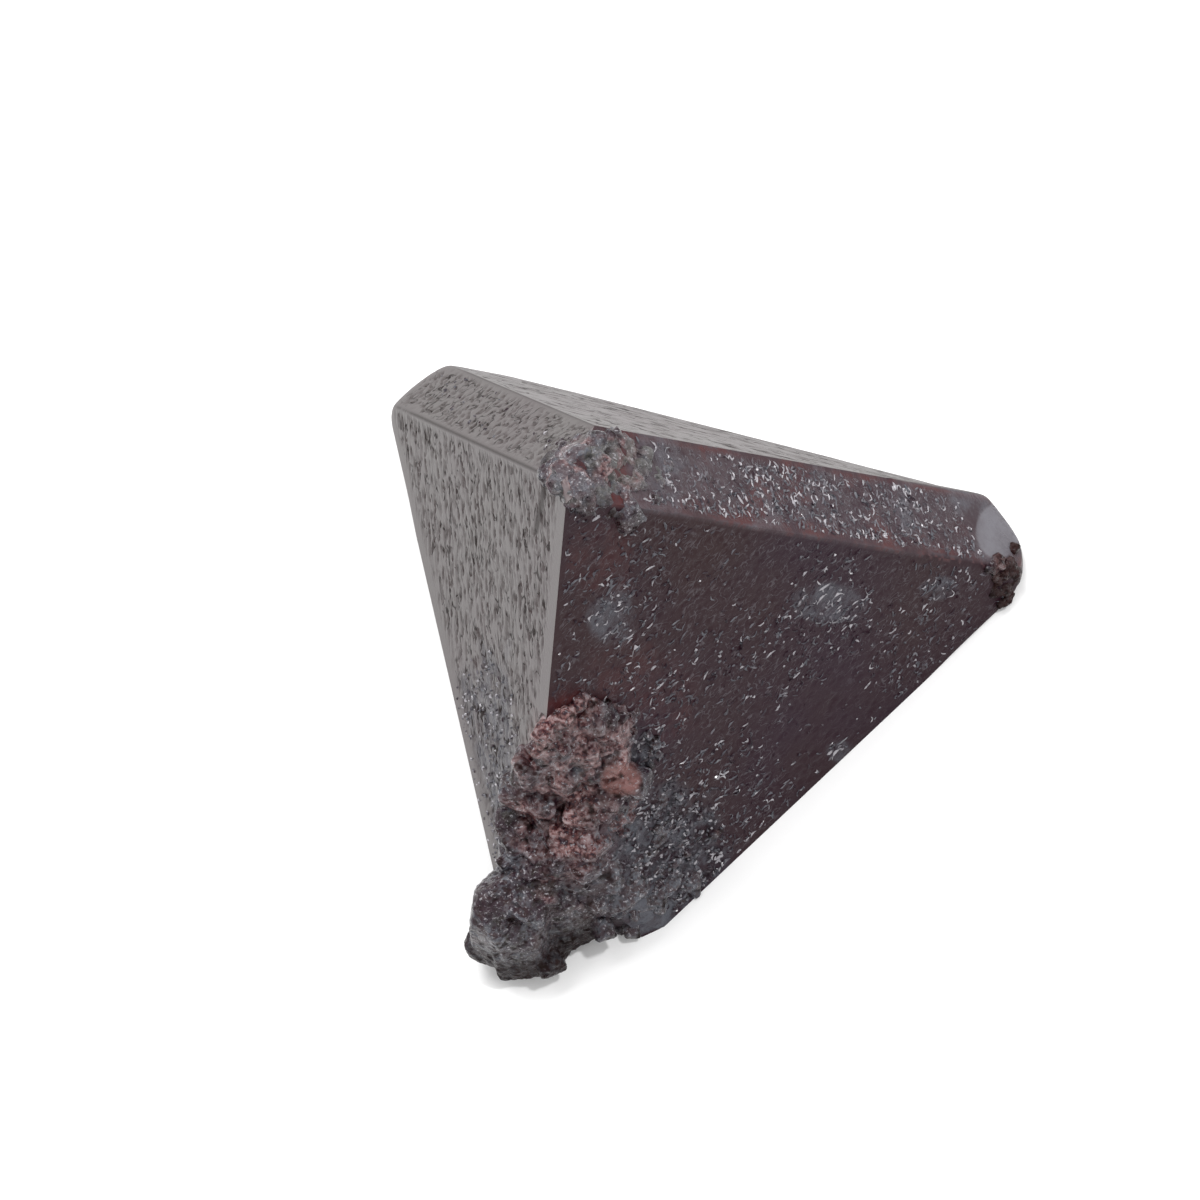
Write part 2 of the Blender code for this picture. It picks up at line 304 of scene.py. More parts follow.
def tetrahedron_grid(steps):
    """Points on the sharp tetrahedron: whole-number weights of its four corners that add up to steps, one of
    them nought. Gives the points' rays from the centre and the triangles between them."""
    corners = -3 * INRADIUS * np.array([direction(*turn) for turn in FACES.values()])
    i, j = np.meshgrid(np.arange(steps + 1), np.arange(steps + 1), indexing="ij")
    i, j = i[i + j <= steps], j[i + j <= steps]
    weights, triangles = [], []
    index = np.full((steps + 2, steps + 2), -1)
    index[i, j] = np.arange(len(i))
    low = i + j < steps
    high = i + j < steps - 1
    up = np.stack((index[i, j], index[i + 1, j], index[i, j + 1]), axis=1)[low]
    down = np.stack((index[i + 1, j], index[i + 1, j + 1], index[i, j + 1]), axis=1)[high]
    one_face = np.concatenate((up, down))
    for face in range(4):
        others = [k for k in range(4) if k != face]
        rows = np.zeros((len(i), 4), int)
        rows[:, others[0]], rows[:, others[1]], rows[:, others[2]] = i, j, steps - i - j
        a, b, c = corners[others]
        outward = np.dot(np.cross(b - a, c - a), a) > 0
        weights.append(rows)
        triangles.append((one_face if outward else one_face[:, ::-1]) + face * len(i))
    weights, triangles = np.concatenate(weights), np.concatenate(triangles)
    keys = weights @ np.array([(steps + 1) ** k for k in range(4)])
    _, first, back = np.unique(keys, return_index=True, return_inverse=True)
    points = weights[first] @ corners / steps
    return unit(points), back.ravel()[triangles]


def mean_edge(points, triangles):
    """The mean length of the triangle sides that meet at each point."""
    total, count = np.zeros(len(points)), np.zeros(len(points))
    for a, b in ((0, 1), (1, 2), (2, 0)):
        length = np.linalg.norm(points[triangles[:, a]] - points[triangles[:, b]], axis=1)
        for end in (a, b):
            np.add.at(total, triangles[:, end], length)
            np.add.at(count, triangles[:, end], 1)
    return total / np.maximum(count, 1)


def snap_to_creases(points, normals, distances, reach):
    """Moves each point that is within reach of a crease onto it, and one within reach of a corner onto that.
    A point slides along its own plane i straight towards plane j, by the gap over |n_j - (n_i.n_j) n_i|."""
    gaps = distances - points @ normals.T
    order = np.argsort(gaps, axis=1)[:, :3]
    rows = np.arange(len(points))
    first, second, third = (normals[order[:, k]] for k in range(3))
    sideways = second - np.sum(first * second, axis=1, keepdims=True) * first
    length = np.linalg.norm(sideways, axis=1)
    slide = gaps[rows, order[:, 1]] / np.maximum(length, TINY)
    near = (slide < reach) & (length > LEAST_CREASE)
    moved = points + np.where(near, slide / np.maximum(length, TINY), 0)[:, None] * sideways
    along = np.cross(first, second)
    run = np.sum(along * third, axis=1)
    left = distances[order[:, 2]] - np.sum(moved * third, axis=1)
    step = left / np.where(np.abs(run) < LEAST_SLOPE, 1 / TINY, run)
    corner = near & (np.abs(step) * np.linalg.norm(along, axis=1) < reach)
    moved += np.where(corner, step, 0)[:, None] * along
    return moved


def plane_table():
    """Every plane of the skin: the main crystal's, the corner overgrowth's and the two of the fracture, as
    normals, distances and names. An overgrowth plane that continues a face has that face's name."""
    normals, distances, names = crystal_planes()
    extra = CORNER_GROWTH + [BREAK_STEEP, BREAK_FLOOR]
    normals = np.concatenate((normals, [direction(a, e) for a, e, _ in extra]))
    distances = np.concatenate((distances, [d for _, _, d in extra]))
    names = names + [CONTINUES.get(k, "growth") for k in range(len(CORNER_GROWTH))] + ["steep", "floor"]
    return normals, distances, names


def joined(reach, sharpness):
    """The radius of a polyhedron with rounded edges: (sum of reach^-p)^(-1/p), nearer the least reach as p
    grows."""
    near = np.minimum(reach, FAR_ENOUGH)
    return np.power(np.sum(np.power(1 / near, sharpness), axis=1), -1 / sharpness)


def skin(rays):
    """Where each ray leaves the crystal: at the nearest plane of the main crystal, or further out on the
    right corner's overgrowth. The worn corners are rounded off. Over the fracture it stops at the further of
    the steep break and the floor, where that comes before the side wall. Gives the radius and the plane's
    number."""
    normals, distances, names = plane_table()
    main = len(names) - len(CORNER_GROWTH) - 2
    reach = reaches(rays, normals, distances)
    radius, own = reach[:, :main].min(axis=1), reach[:, :main].argmin(axis=1)
    worn = np.zeros(len(rays))
    for azimuth, elevation, inner, outer in WORN:
        worn = np.maximum(worn, smoothstep(inner, outer, rays @ direction(azimuth, elevation)))
    growth = reach[:, main:-2]
    azimuth, elevation, distance = CORNER_GROWTH_BACK
    back = reaches(rays, direction(azimuth, elevation)[None], np.array([distance]))[:, 0]
    raised = (growth.min(axis=1) > radius) & (back < radius)
    radius += worn * (joined(reach[:, :main], WEAR_SHARPNESS) - radius)
    grown = growth.min(axis=1)
    grown += worn * (joined(growth, WEAR_SHARPNESS) - grown)
    radius = np.where(raised, grown, radius)
    own = np.where(raised, main + growth.argmin(axis=1), own)
    entry = reach[:, -2:].max(axis=1)
    wall = entry * (rays @ direction(*BREAK_SIDE[:2])) < BREAK_SIDE[2]
    broken = (entry < radius) & wall
    radius = np.where(broken, entry, radius)
    own = np.where(broken, len(names) - 2 + reach[:, -2:].argmax(axis=1), own)
    return radius, own


def body_surface(steps):
    """The crystal's skin as points, triangles and each point's plane number. Points near a crease of the
    main crystal slide onto it, so that its edges are straight."""
    rays, triangles = tetrahedron_grid(steps)
    normals, distances, names = plane_table()
    main = len(names) - len(CORNER_GROWTH) - 2
    radius = reaches(rays, normals[:main], distances[:main]).min(axis=1)
    points = rays * radius[:, None]
    spacing = mean_edge(points, triangles)
    rays = unit(snap_to_creases(points, normals[:main], distances[:main], 0.5 * spacing))
    radius, own = skin(rays)
    grown = (own >= main) & (own < len(names) - 2)
    points = rays * radius[:, None]
    snapped = snap_to_creases(points, normals[main:-2], distances[main:-2], 0.5 * spacing)
    rays = np.where(grown[:, None], unit(snapped), rays)
    radius, own = skin(rays)
    return rays * radius[:, None], triangles, own


# Etch pits: how many draws they share, what spreads the lattice's cells over them, the power of their
# outline and the depth of the shallowest.
PIT_DRAWS = 4096
PIT_SPREAD = (7919, 104729)
PIT_POWER = 1.4
SHALLOWEST = 0.35


def spindle_pits(along, across, cell, lengths, widths, spread, seed):
    """Etch pits in a plane: each cell of a jittered lattice holds one pointed pit, whose depth falls as
    1 - |a|^1.4 - |b|^1.4 with a and b the shares of its half length and half width. The deepest counts."""
    table = np.random.default_rng(seed).random((PIT_DRAWS, 6))
    column, row = np.floor(along / cell[0]).astype(int), np.floor(across / cell[1]).astype(int)
    depth = np.zeros(len(along))
    for step_along, step_across in np.ndindex(3, 3):
        i, j = column + step_along - 1, row + step_across - 1
        drawn = table[(i * PIT_SPREAD[0] + j * PIT_SPREAD[1]) % PIT_DRAWS]
        x = along - (i + drawn[:, 0]) * cell[0]
        y = across - (j + drawn[:, 1]) * cell[1]
        turn = np.radians((drawn[:, 2] - 0.5) * 2 * spread)
        half_length = (lengths[0] + (lengths[1] - lengths[0]) * drawn[:, 3]) / 2
        half_width = (widths[0] + (widths[1] - widths[0]) * drawn[:, 4]) / 2
        a = np.abs(x * np.cos(turn) + y * np.sin(turn)) / half_length
        b = np.abs(y * np.cos(turn) - x * np.sin(turn)) / half_width
        shape = np.clip(1 - a**PIT_POWER - b**PIT_POWER, 0, 1)
        depth = np.maximum(depth, shape * (SHALLOWEST + (1 - SHALLOWEST) * drawn[:, 5]))
    return depth


def plane_axes(normals, turns):
    """For each plane, the direction at a turn from straight up its slope, and the one across it."""
    up = np.where(np.abs(normals[:, 2:]) > 0.95, (0.0, 1.0, 0.0), (0.0, 0.0, 1.0))
    up = unit(up - np.sum(up * normals, axis=1, keepdims=True) * normals)
    side = np.cross(up, normals)
    turns = np.radians(turns)[:, None]
    along = up * np.cos(turns) + side * np.sin(turns)
    return along, np.cross(normals, along)


# Meshes and objects


def mesh_object(name, points, triangles, smooth_angle=None):
    """A mesh object from points in millimetres about the axis, placed in the part's frame in metres."""
    mesh = bpy.data.meshes.new(name)
    mesh.from_pydata(((points + AXIS) * MM).tolist(), [], triangles.tolist())
    mesh.validate()
    if smooth_angle is not None:
        mesh.shade_smooth()
        mesh.set_sharp_from_angle(angle=math.radians(smooth_angle))
    made = bpy.data.objects.new(name, mesh)
    bpy.context.scene.collection.objects.link(made)
    return made


def attach(made, material):
    """Makes a finished piece part of the crystal."""
    made.data.materials.clear()
    made.data.materials.append(material)
    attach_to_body(made, "root")
    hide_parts(NODE)


def set_attribute(mesh, name, values):
    """Stores one number for each point."""
    layer = mesh.attributes.new(name, "FLOAT", "POINT")
    layer.data.foreach_set("value", np.ascontiguousarray(values, dtype=np.float32))


def mesh_points(mesh):
    """A mesh's points in millimetres about the axis."""
    flat = np.empty(len(mesh.vertices) * 3)
    mesh.vertices.foreach_get("co", flat)
    return flat.reshape(-1, 3) / MM - AXIS


# Etch marks on each plane: their turn from straight up its slope, and the pits' lattice cell, length range,
# width range, spread of their turn and depth.
MARKS = {
    "left": (130, ((0.42, 0.19), (0.22, 0.75), (0.07, 0.12), 16, 0.055)),
    "back": (90, ((0.80, 0.50), (0.35, 0.90), (0.14, 0.26), 20, 0.030)),
    "back_left": (150, ((0.24, 0.17), (0.12, 0.34), (0.08, 0.13), 60, 0.055)),
    "right": (90, ((0.34, 0.22), (0.16, 0.40), (0.09, 0.16), 40, 0.030)),
    "back_right": (80, ((0.26, 0.18), (0.14, 0.32), (0.08, 0.15), 60, 0.035)),
    "base": (60, ((0.50, 0.26), (0.25, 0.70), (0.10, 0.20), 30, 0.050)),
}
OTHER_MARKS = (70, ((0.36, 0.24), (0.16, 0.40), (0.08, 0.18), 60, 0.020))

# How matt each plane's skin is, against the smoothest, and how strongly it mirrors. Other planes have the
# last values.
MATT = {"back_left": 0.7, "left": 0.25, "back": 0.3}
GLEAM = {"back_left": 0.86, "left": 0.50, "back": 0.48}
OTHER_MATT, OTHER_GLEAM = 0.4, 0.5

# How closely the finest marks follow each other on each plane: along them and across, per millimetre.
LINE_PITCH = {
    "left": (2.1, 4.6),
    "back": (1.5, 2.4),
    "back_left": (3.0, 4.6),
    "right": (4.6, 5.6),
    "back_right": (6.5, 7.5),
}
OTHER_PITCH = (3.0, 5.0)
DARK_PLANES = {"right", "back_right", "corner_7", "corner_8", "corner_9", "steep", "floor"}


# Where the photograph shows a change in the surface: middle and reach, across and down, in its own pixels.
PLACES = {
    "broken": (572, 785, 66, 92),
    "hump": (660, 868, 72, 86),
    "top": (604, 470, 60, 36),
    "left_rough": (484, 800, 44, 150),
    "ember": (622, 781, 20, 16),
    "corner_pale": (998, 531, 21, 27),
    "corner_rim": (1010, 572, 22, 42),
    "above_hump": (628, 752, 30, 26),
    "smooth_low": (845, 745, 84, 74),
    "break_rim": (592, 724, 46, 26),
    "frost_a": (612, 615, 24, 28),
    "frost_b": (828, 604, 34, 20),
    "frost_c": (840, 752, 16, 12),
    "frost_d": (940, 588, 20, 12),
    "brown_a": (640, 700, 60, 60),
    "brown_b": (600, 560, 40, 40),
}


# How far into a place, as a share of its reach, its rim begins and ends. The pale facet has a sharp rim.
RIM = (0.75, 1.15)
SHARP_RIM = (0.97, 1.10)


def seen_at(points):
    """Where the camera sees each point, in the photograph's pixels: across and up from the view's axis, each
    over the depth along it."""
    forward, up = unit(np.array(FORWARD)), np.array(UP)
    right = unit(np.cross(forward, up))
    up = np.cross(right, forward)
    away = points + AXIS - np.array(EYE)
    scale = PHOTO_SIZE * LENS_MM / SENSOR_MM / (away @ forward)
    return np.stack((PHOTO_SIZE / 2 + (away @ right) * scale, PHOTO_SIZE / 2 - (away @ up) * scale), axis=1)


def share_of(place, seen, wobble):
    """1 in the middle of a place and 0 outside it, with an uneven rim."""
    x, y, across, down = PLACES[place]
    distance = np.hypot((seen[:, 0] - x) / across, (seen[:, 1] - y) / down)
    rim = SHARP_RIM if place == "corner_pale" else RIM
    return 1 - smoothstep(*rim, distance + wobble)


class CrystalSizes(bpy.types.PropertyGroup):
    """The crystal's sizes."""

    pit_scale: bpy.props.FloatProperty(
        name="Pit depth", description="Depth of the etch pits, against the usual", default=1.0, min=0, max=2
    )
    ridge_share: bpy.props.FloatProperty(
        name="Growth ridges",
        description="How many small ridges the faces have, against the usual",
        default=1.0,
    )
    ridge_height: bpy.props.FloatProperty(
        name="Ridge height",
        description="How far a growth ridge stands above its face",
        default=0.022 * MM,
        unit="LENGTH",
        precision=6,
    )
    grain: bpy.props.FloatProperty(
        name="Grain",
        description="Size of the voxels that join the crystals at the tip",
        default=0.034 * MM,
        unit="LENGTH",
        precision=6,
    )


def colour_property(name, description, hex_colour):
    """A colour that a user can change, with its default."""
    return bpy.props.FloatVectorProperty(
        name=name, description=description, subtype="COLOR", size=4, default=linear(hex_colour)
    )


class CrystalColours(bpy.types.PropertyGroup):
    """The crystal's colours."""

    maroon: colour_property("Maroon", "The crystal's own colour", "#220b1a")
    brown: colour_property("Brown", "Where it is more brown", "#271013")
    # Painted sheen: a greyer ground than the maroon for the smooth etched faces, standing in for part of the
    # pale surroundings they mirror.
    sheen_taupe: colour_property("Taupe", "Under the smooth left faces", "#2f2422")
    # Painted shade: the dark in the etch pits, in the creases, in the tip's hollows between grains and at its
    # foot; also the dark of the etch lines and the darkest of the tip's random tones.
    hollow_shade: colour_property("Hollow", "In the etch lines", "#1c1210")
    slate: colour_property("Slate", "Bluish grey, rough places", "#515259")
    # Painted reflection: the pale grey given to the growth curls and ridges in place of the light their
    # flanks mirror.
    frost: colour_property("Frost", "Pale grey growth curls", "#625e64")
    ash: colour_property("Ash", "The smooth facet on the right corner", "#68666c")
    lichen: colour_property("Greenish grey", "Lumps on the blunt top", "#4c4f4b")
    blush: colour_property("Blush", "Pale grains of the broken tip", "#845e5c")
    ember: colour_property("Ember", "The reddest lump of the broken tip", "#7e5652")
    mauve: colour_property("Mauve", "Under the specks of the upper bevel", "#453a3f")
    petal: colour_property("Petal", "The palest grains of the broken tip", "#a68e8e")
    # Painted glints: the palest curls, ridges and specks.
    glint_white: colour_property("Snow", "The palest growth curls", "#9a979c")
    rust: colour_property("Rust", "Red-brown of the broken tip", "#4a2222")


class StageSettings(bpy.types.PropertyGroup):
    """The floor and the lights."""

    floor: colour_property("Floor", "Colour of the floor", "#f4f4f4")
    sky: bpy.props.FloatProperty(name="Surroundings", description="Strength of the even light", default=0.85)
    key: bpy.props.FloatProperty(
        name="Key light", description="Power of the soft main light", default=0.9, unit="POWER"
    )
    spark: bpy.props.FloatProperty(
        name="Spark light", description="Power of the small light for glints", default=0.35, unit="POWER"
    )


# Materials

# How many cells of each pattern lie on a millimetre, as 1 over the size of the real marks. The skin's tooth
# is finer than that on the real crystal, and is drawn as coarse as it has to be to show.
SKIN_PATCHES = 1.5 / MM
ETCHED_TOOTH = 16 / MM
RIBBED_TOOTH = 13 / MM
BREAK_CLOUDS = 2.2 / MM
BREAK_GRAINS = 8 / MM
BREAK_GLINT_SPECKS = 15 / MM
BREAK_FACETS = 9 / MM
RIDGE_PATCHES = 5 / MM
CARD_TOOTH = 0.9 / MM

ZUNYITE_IOR = 1.6
TOOTH_HEIGHT = 0.03 * MM
GRAIN_HEIGHT = 0.06 * MM


def fill(node, inputs):
    """Sets a node's inputs, by name or in their order, to values or links them to other nodes' outputs."""
    named = inputs.items() if isinstance(inputs, dict) else enumerate(inputs)
    for name, value in named:
        if isinstance(value, bpy.types.NodeSocket):
            node.id_data.links.new(value, node.inputs[name])
        else:
            node.inputs[name].default_value = value


def add_node(tree, kind, inputs=(), out=0, stops=(), **settings):
    """Adds a shader node with its settings and links, and gives one of its outputs. Stops are a ramp's
    places and colours."""
    node = tree.nodes.new("ShaderNode" + kind)
    for name, value in settings.items():
        setattr(node, name, value)
    fill(node, inputs)
    if stops:
        ramp = node.color_ramp.elements
        while len(ramp) < len(stops):
            ramp.new(0.5)
        for element, (place, colour) in zip(ramp, stops):
            element.position = place
            element.color = colour
    return node.outputs[out]


def new_material(name):
    """A node material, a function that adds nodes to it, and its shader."""
    made = bpy.data.materials.new(name)
    made.use_nodes = True
    return made, functools.partial(add_node, made.node_tree), made.node_tree.nodes["Principled BSDF"]


def worm_lines(node, vector, width, detail):
    """Thin wandering lines, from 0 to 1: where a noise passes through its middle value. A coarser noise
    breaks them up."""
    wander = {"Vector": vector, "Scale": 1.0, "Detail": detail, "Roughness": 0.5, "Distortion": 0.5}
    off = node("Math", (node("TexNoise", wander), 0.5), operation="SUBTRACT")
    off = node("Math", (off,), operation="ABSOLUTE")
    line = node("MapRange", (off, 0.3 * width, width, 1.0, 0.0), interpolation_type="SMOOTHSTEP")
    gaps = node("TexNoise", {"Vector": vector, "Scale": 0.73, "Detail": 2.0, "Roughness": 0.7})
    kept = node("MapRange", (gaps, 0.44, 0.56, 0.0, 1.0))
    return node("Math", (line, kept), operation="MULTIPLY")


def skin_colour(node, place, colours, first, second):
    """The skin's own colour: two tones that drift into each other, then mauve haze, rust stains, bluish
    rough places and pale ones, each where its attribute says and broken up by a noise of about 0.7 mm. Also
    gives the share of the rough places."""
    broad = node("TexNoise", {"Vector": place, "Scale": SKIN_PATCHES, "Detail": 5.0, "Roughness": 0.7})
    drift = node("Attribute", out="Fac", attribute_name="drift")
    ground = node("Mix", {0: drift, 6: first, 7: second}, out=2, data_type="RGBA")
    layers = (
        ("haze", colours.mauve, 0.45),
        ("stain", colours.rust, 0.15),
        ("frost", colours.slate, 0.12),
        ("pale", colours.ash, 0.75),
    )
    shares = {}
    for name, colour, least in layers:
        patchy = node("MapRange", (broad, 0.40, 0.60, least, 1.0))
        value = node("Attribute", out="Fac", attribute_name=name)
        shares[name] = node("Math", (patchy, value), operation="MULTIPLY")
        ground = node("Mix", {0: shares[name], 6: ground, 7: colour}, out=2, data_type="RGBA")
    return ground, shares["frost"]


def etched_zunyite(colours):
    """Zunyite, smooth grown faces with etch lines. The glassy skin mirrors pale surroundings at a slant,
    which makes it taupe grey, and its ground is painted a greyer taupe as painted sheen besides. The lines
    let the maroon under it show, and the etch pits and creases are painted dark as painted shade. Where it
    is rough it mirrors less."""
    made, node, shader = new_material("etched_zunyite")
    place = node("TexCoord", out="Object")
    flow = node("UVMap", uv_map="flow")
    names = ("pit_shade", "lined", "matt", "gleam")
    pit_shade, lined, matt, gleam = (node("Attribute", out="Fac", attribute_name=name) for name in names)
    lines = node("Math", (worm_lines(node, flow, 0.040, 1.5), lined), operation="MULTIPLY")
    # Painted shade: the etch pits and the crease lines are painted darker, together with the etch lines.
    pits = node("Math", (pit_shade, 0.6), operation="MULTIPLY")
    marks = node("Math", (lines, pits), operation="MAXIMUM")
    fine = node("TexNoise", {"Vector": place, "Scale": ETCHED_TOOTH, "Detail": 3.0, "Roughness": 0.6})
    # Painted sheen: the etched faces' ground drifts between the greyer taupe and brown.
    ground, rough = skin_colour(node, place, colours, colours.sheen_taupe, colours.brown)
    ground = node("Mix", {0: marks, 6: ground, 7: colours.hollow_shade}, out=2, data_type="RGBA")
    gloss = node("MapRange", (matt, 0.0, 1.0, 0.36, 0.62))
    worn = node("Math", (marks, 0.25), operation="MULTIPLY")
    gloss = node("Math", (gloss, worn), operation="ADD")
    level = node("MapRange", (rough, 0.0, 1.0, 1.0, 0.1))
    level = node("Math", (level, gleam), operation="MULTIPLY")
    groove = node("Math", (marks, -0.6, 1.0), operation="MULTIPLY_ADD")
    level = node("Math", (level, groove), operation="MULTIPLY")
    tooth = node("MapRange", (rough, 0.0, 1.0, 0.25, 1.2))
    tooth = node("Math", (fine, tooth), operation="MULTIPLY")
    relief = node("Math", (tooth, marks), operation="SUBTRACT")
    bump = node("Bump", {"Height": relief, "Strength": 0.8, "Distance": TOOTH_HEIGHT})
    fill(shader, {"Base Color": ground, "Roughness": gloss, "Specular IOR Level": level, "Normal": bump})
    fill(shader, {"IOR": ZUNYITE_IOR})
    return made


def ribbed_zunyite(colours):
    """Zunyite, faces covered with fine growth curls. Their rough skin mirrors little, so the dark maroon
    shows, and the curls are painted paler, as painted reflection of their lit flanks, with painted glints as
    pale specks."""
    made, node, shader = new_material("ribbed_zunyite")
    place = node("TexCoord", out="Object")
    flow = node("UVMap", uv_map="flow")
    lined, haze = (node("Attribute", out="Fac", attribute_name=name) for name in ("lined", "haze"))
    lines = node("Math", (worm_lines(node, flow, 0.045, 1.0), lined), operation="MULTIPLY")
    strength = node("MapRange", (haze, 0.0, 1.0, 0.3, 1.0))
    lines = node("Math", (lines, strength), operation="MULTIPLY")
    fine = node("TexNoise", {"Vector": place, "Scale": RIBBED_TOOTH, "Detail": 3.0, "Roughness": 0.6})
    ground, rough = skin_colour(node, place, colours, colours.maroon, colours.brown)
    # Painted glints: pale specks where the fine noise is high, on the curly places.
    glint_speck = node("MapRange", (fine, 0.54, 0.68, 0.0, 0.4))
    glint_speck = node("Math", (glint_speck, lined), operation="MULTIPLY")
    glint_speck = node("Math", (glint_speck, strength), operation="MULTIPLY")
    lines = node("Math", (lines, glint_speck), operation="MAXIMUM")
    # Painted reflection: the curls and the specks take the pale frost grey.
    ground = node("Mix", {0: lines, 6: ground, 7: colours.frost}, out=2, data_type="RGBA")
    gloss = node("MapRange", (lines, 0.0, 1.0, 0.5, 0.3))
    tooth = node("MapRange", (rough, 0.0, 1.0, 0.35, 1.6))
    tooth = node("Math", (fine, tooth), operation="MULTIPLY")
    relief = node("Math", (tooth, lines), operation="ADD")
    bump = node("Bump", {"Height": relief, "Strength": 0.8, "Distance": TOOTH_HEIGHT})
    fill(shader, {"Base Color": ground, "Roughness": gloss, "Normal": bump})
    fill(shader, {"IOR": ZUNYITE_IOR, "Specular IOR Level": 0.10})
    return made


def facet_normals(node, place, scale, tilt):
    """A normal that is turned a little at random from one small cell to the next, as on a crust of tiny
    crystals whose facets glint one by one."""
    cells = node("TexVoronoi", {"Vector": place, "Scale": scale}, out="Color")
    lean = node("VectorMath", (cells, (0.5, 0.5, 0.5)), operation="SUBTRACT")
    lean = node("VectorMath", {0: lean, "Scale": tilt}, operation="SCALE")
    straight = node("NewGeometry", out="Normal")
    leaning = node("VectorMath", (straight, lean), operation="ADD")
    return node("VectorMath", (leaning,), operation="NORMALIZE")


def broken_zunyite(colours):
    """Zunyite where it broke and small crystals grew in a heap: granular, red-brown to bluish grey, darker
    with painted shade and duller in its hollows, and with glints from tiny facets and painted glints as pale
    specks."""
    made, node, shader = new_material("broken_zunyite")
    place = node("TexCoord", out="Object")
    names = ("haze", "rust", "frost", "lichen", "hollow_shade", "ember")
    value = {name: node("Attribute", out="Fac", attribute_name=name) for name in names}
    grains, specks, clouds = (
        node("TexNoise", {"Vector": place, "Scale": scale, "Detail": 4.0, "Roughness": 0.65})
        for scale in (BREAK_GRAINS, BREAK_GLINT_SPECKS, BREAK_CLOUDS)
    )
    dark_tones = [(0.38, colours.hollow_shade), (0.48, colours.maroon), (0.62, colours.brown)]
    red_tones = [(0.37, colours.maroon), (0.45, colours.rust), (0.53, colours.blush), (0.62, colours.petal)]
    ground = node("ValToRGB", (clouds,), stops=dark_tones)
    red = node("ValToRGB", (grains,), stops=red_tones)
    slate_share = node("MapRange", (grains, 0.46, 0.58, 0.0, 1.0))
    slate_share = node("Math", (slate_share, value["frost"]), operation="MULTIPLY")
    # Painted glints: pale specks where a fine noise is high.
    glint_share = node("MapRange", (specks, 0.58, 0.65, 0.0, 0.8))
    layers = (
        (value["haze"], colours.mauve),
        (value["rust"], red),
        (value["lichen"], colours.lichen),
        (slate_share, colours.slate),
        (value["ember"], colours.ember),
        (glint_share, colours.glint_white),
        # Painted shade: dark in the hollows between grains and at the foot.
        (value["hollow_shade"], colours.hollow_shade),
    )
    for share, colour in layers:
        ground = node("Mix", {0: share, 6: ground, 7: colour}, out=2, data_type="RGBA")
    gloss = node("MapRange", (grains, 0.3, 0.7, 0.42, 0.15))
    level = node("MapRange", (value["hollow_shade"], 0.0, 0.8, 0.26, 0.04))
    facets = facet_normals(node, place, BREAK_FACETS, 1.0)
    bump = node("Bump", {"Height": grains, "Strength": 0.8, "Distance": GRAIN_HEIGHT, "Normal": facets})
    fill(shader, {"Base Color": ground, "Roughness": gloss, "Specular IOR Level": level, "Normal": bump})
    fill(shader, {"IOR": ZUNYITE_IOR})
    return made


def ridge_zunyite(colours):
    """Zunyite, the small growth ridges: clear, smooth facets painted paler than the face under them, as
    painted reflection of their flanks, each a little lighter or darker than the next."""
    made, node, shader = new_material("ridge_zunyite")
    place = node("TexCoord", out="Object")
    sheen_tone = node("Attribute", out="Fac", attribute_name="sheen_tone")
    patches = node("TexNoise", {"Vector": place, "Scale": RIDGE_PATCHES, "Detail": 3.0, "Roughness": 0.6})
    patches = node("Math", (patches, 0.5), operation="MULTIPLY")
    mixed = node("Math", (sheen_tone, patches), operation="ADD")
    # Painted reflection: the tones run from maroon up to pale frost grey and near-white painted glints.
    tones = [(0.25, colours.maroon), (0.55, colours.slate), (0.95, colours.frost), (1.0, colours.glint_white)]
    ground = node("ValToRGB", (mixed,), stops=tones)
    gloss = node("MapRange", (mixed, 0.2, 1.1, 0.5, 0.18))
    fill(shader, {"Base Color": ground, "Roughness": gloss})
    fill(shader, {"IOR": ZUNYITE_IOR, "Specular IOR Level": 0.3})
    return made


def white_card(settings):
    """Matt white card: an even white with a faint tooth."""
    made, node, shader = new_material("white_card")
    place = node("TexCoord", out="Object")
    tooth = node("TexNoise", {"Vector": place, "Scale": CARD_TOOTH, "Detail": 2.0})
    bump = node("Bump", {"Height": tooth, "Strength": 0.05, "Distance": 0.05 * MM})
    fill(shader, {"Base Color": settings.floor, "Roughness": 0.9, "Normal": bump})
    return made


# The pieces


def mark_relief(points, own, names, axes, scale):
    """How deep each point of the skin is etched, in millimetres."""
    depth = np.zeros(len(points))
    for index, name in enumerate(names):
        chosen = own == index
        if chosen.any():
            _, (cell, lengths, widths, spread, deep) = MARKS.get(name, OTHER_MARKS)
            u, v = points[chosen] @ axes[0][index], points[chosen] @ axes[1][index]
            depth[chosen] = deep * spindle_pits(u, v, cell, lengths, widths, spread, 40 + index)
    return depth * scale


# Gaps in millimetres over which marks fade in from an edge, the left face's bare strips, and the marks'
# strength on the overgrowth's own planes.
EDGE_FADE = (0.03, 0.16)
BARE_STRIPS = (("right", (0.30, 0.62)), ("left_base", (0.25, 0.70)))
GROWTH_MARKS = 0.5

# Creases with a painted-shade line: the two planes and the line's strength. Then how wide they are, in
# millimetres, and how dark the painted shade is.
SHADED_CREASES = (("left", "back_left", 0.7), ("back", "back_left", 0.5), ("back", "back_right", 0.6))
CREASE_WIDTH = 0.05
CREASE_SHADE_DARKNESS = 1.7
FACET_SHADE_STRENGTH = 0.8


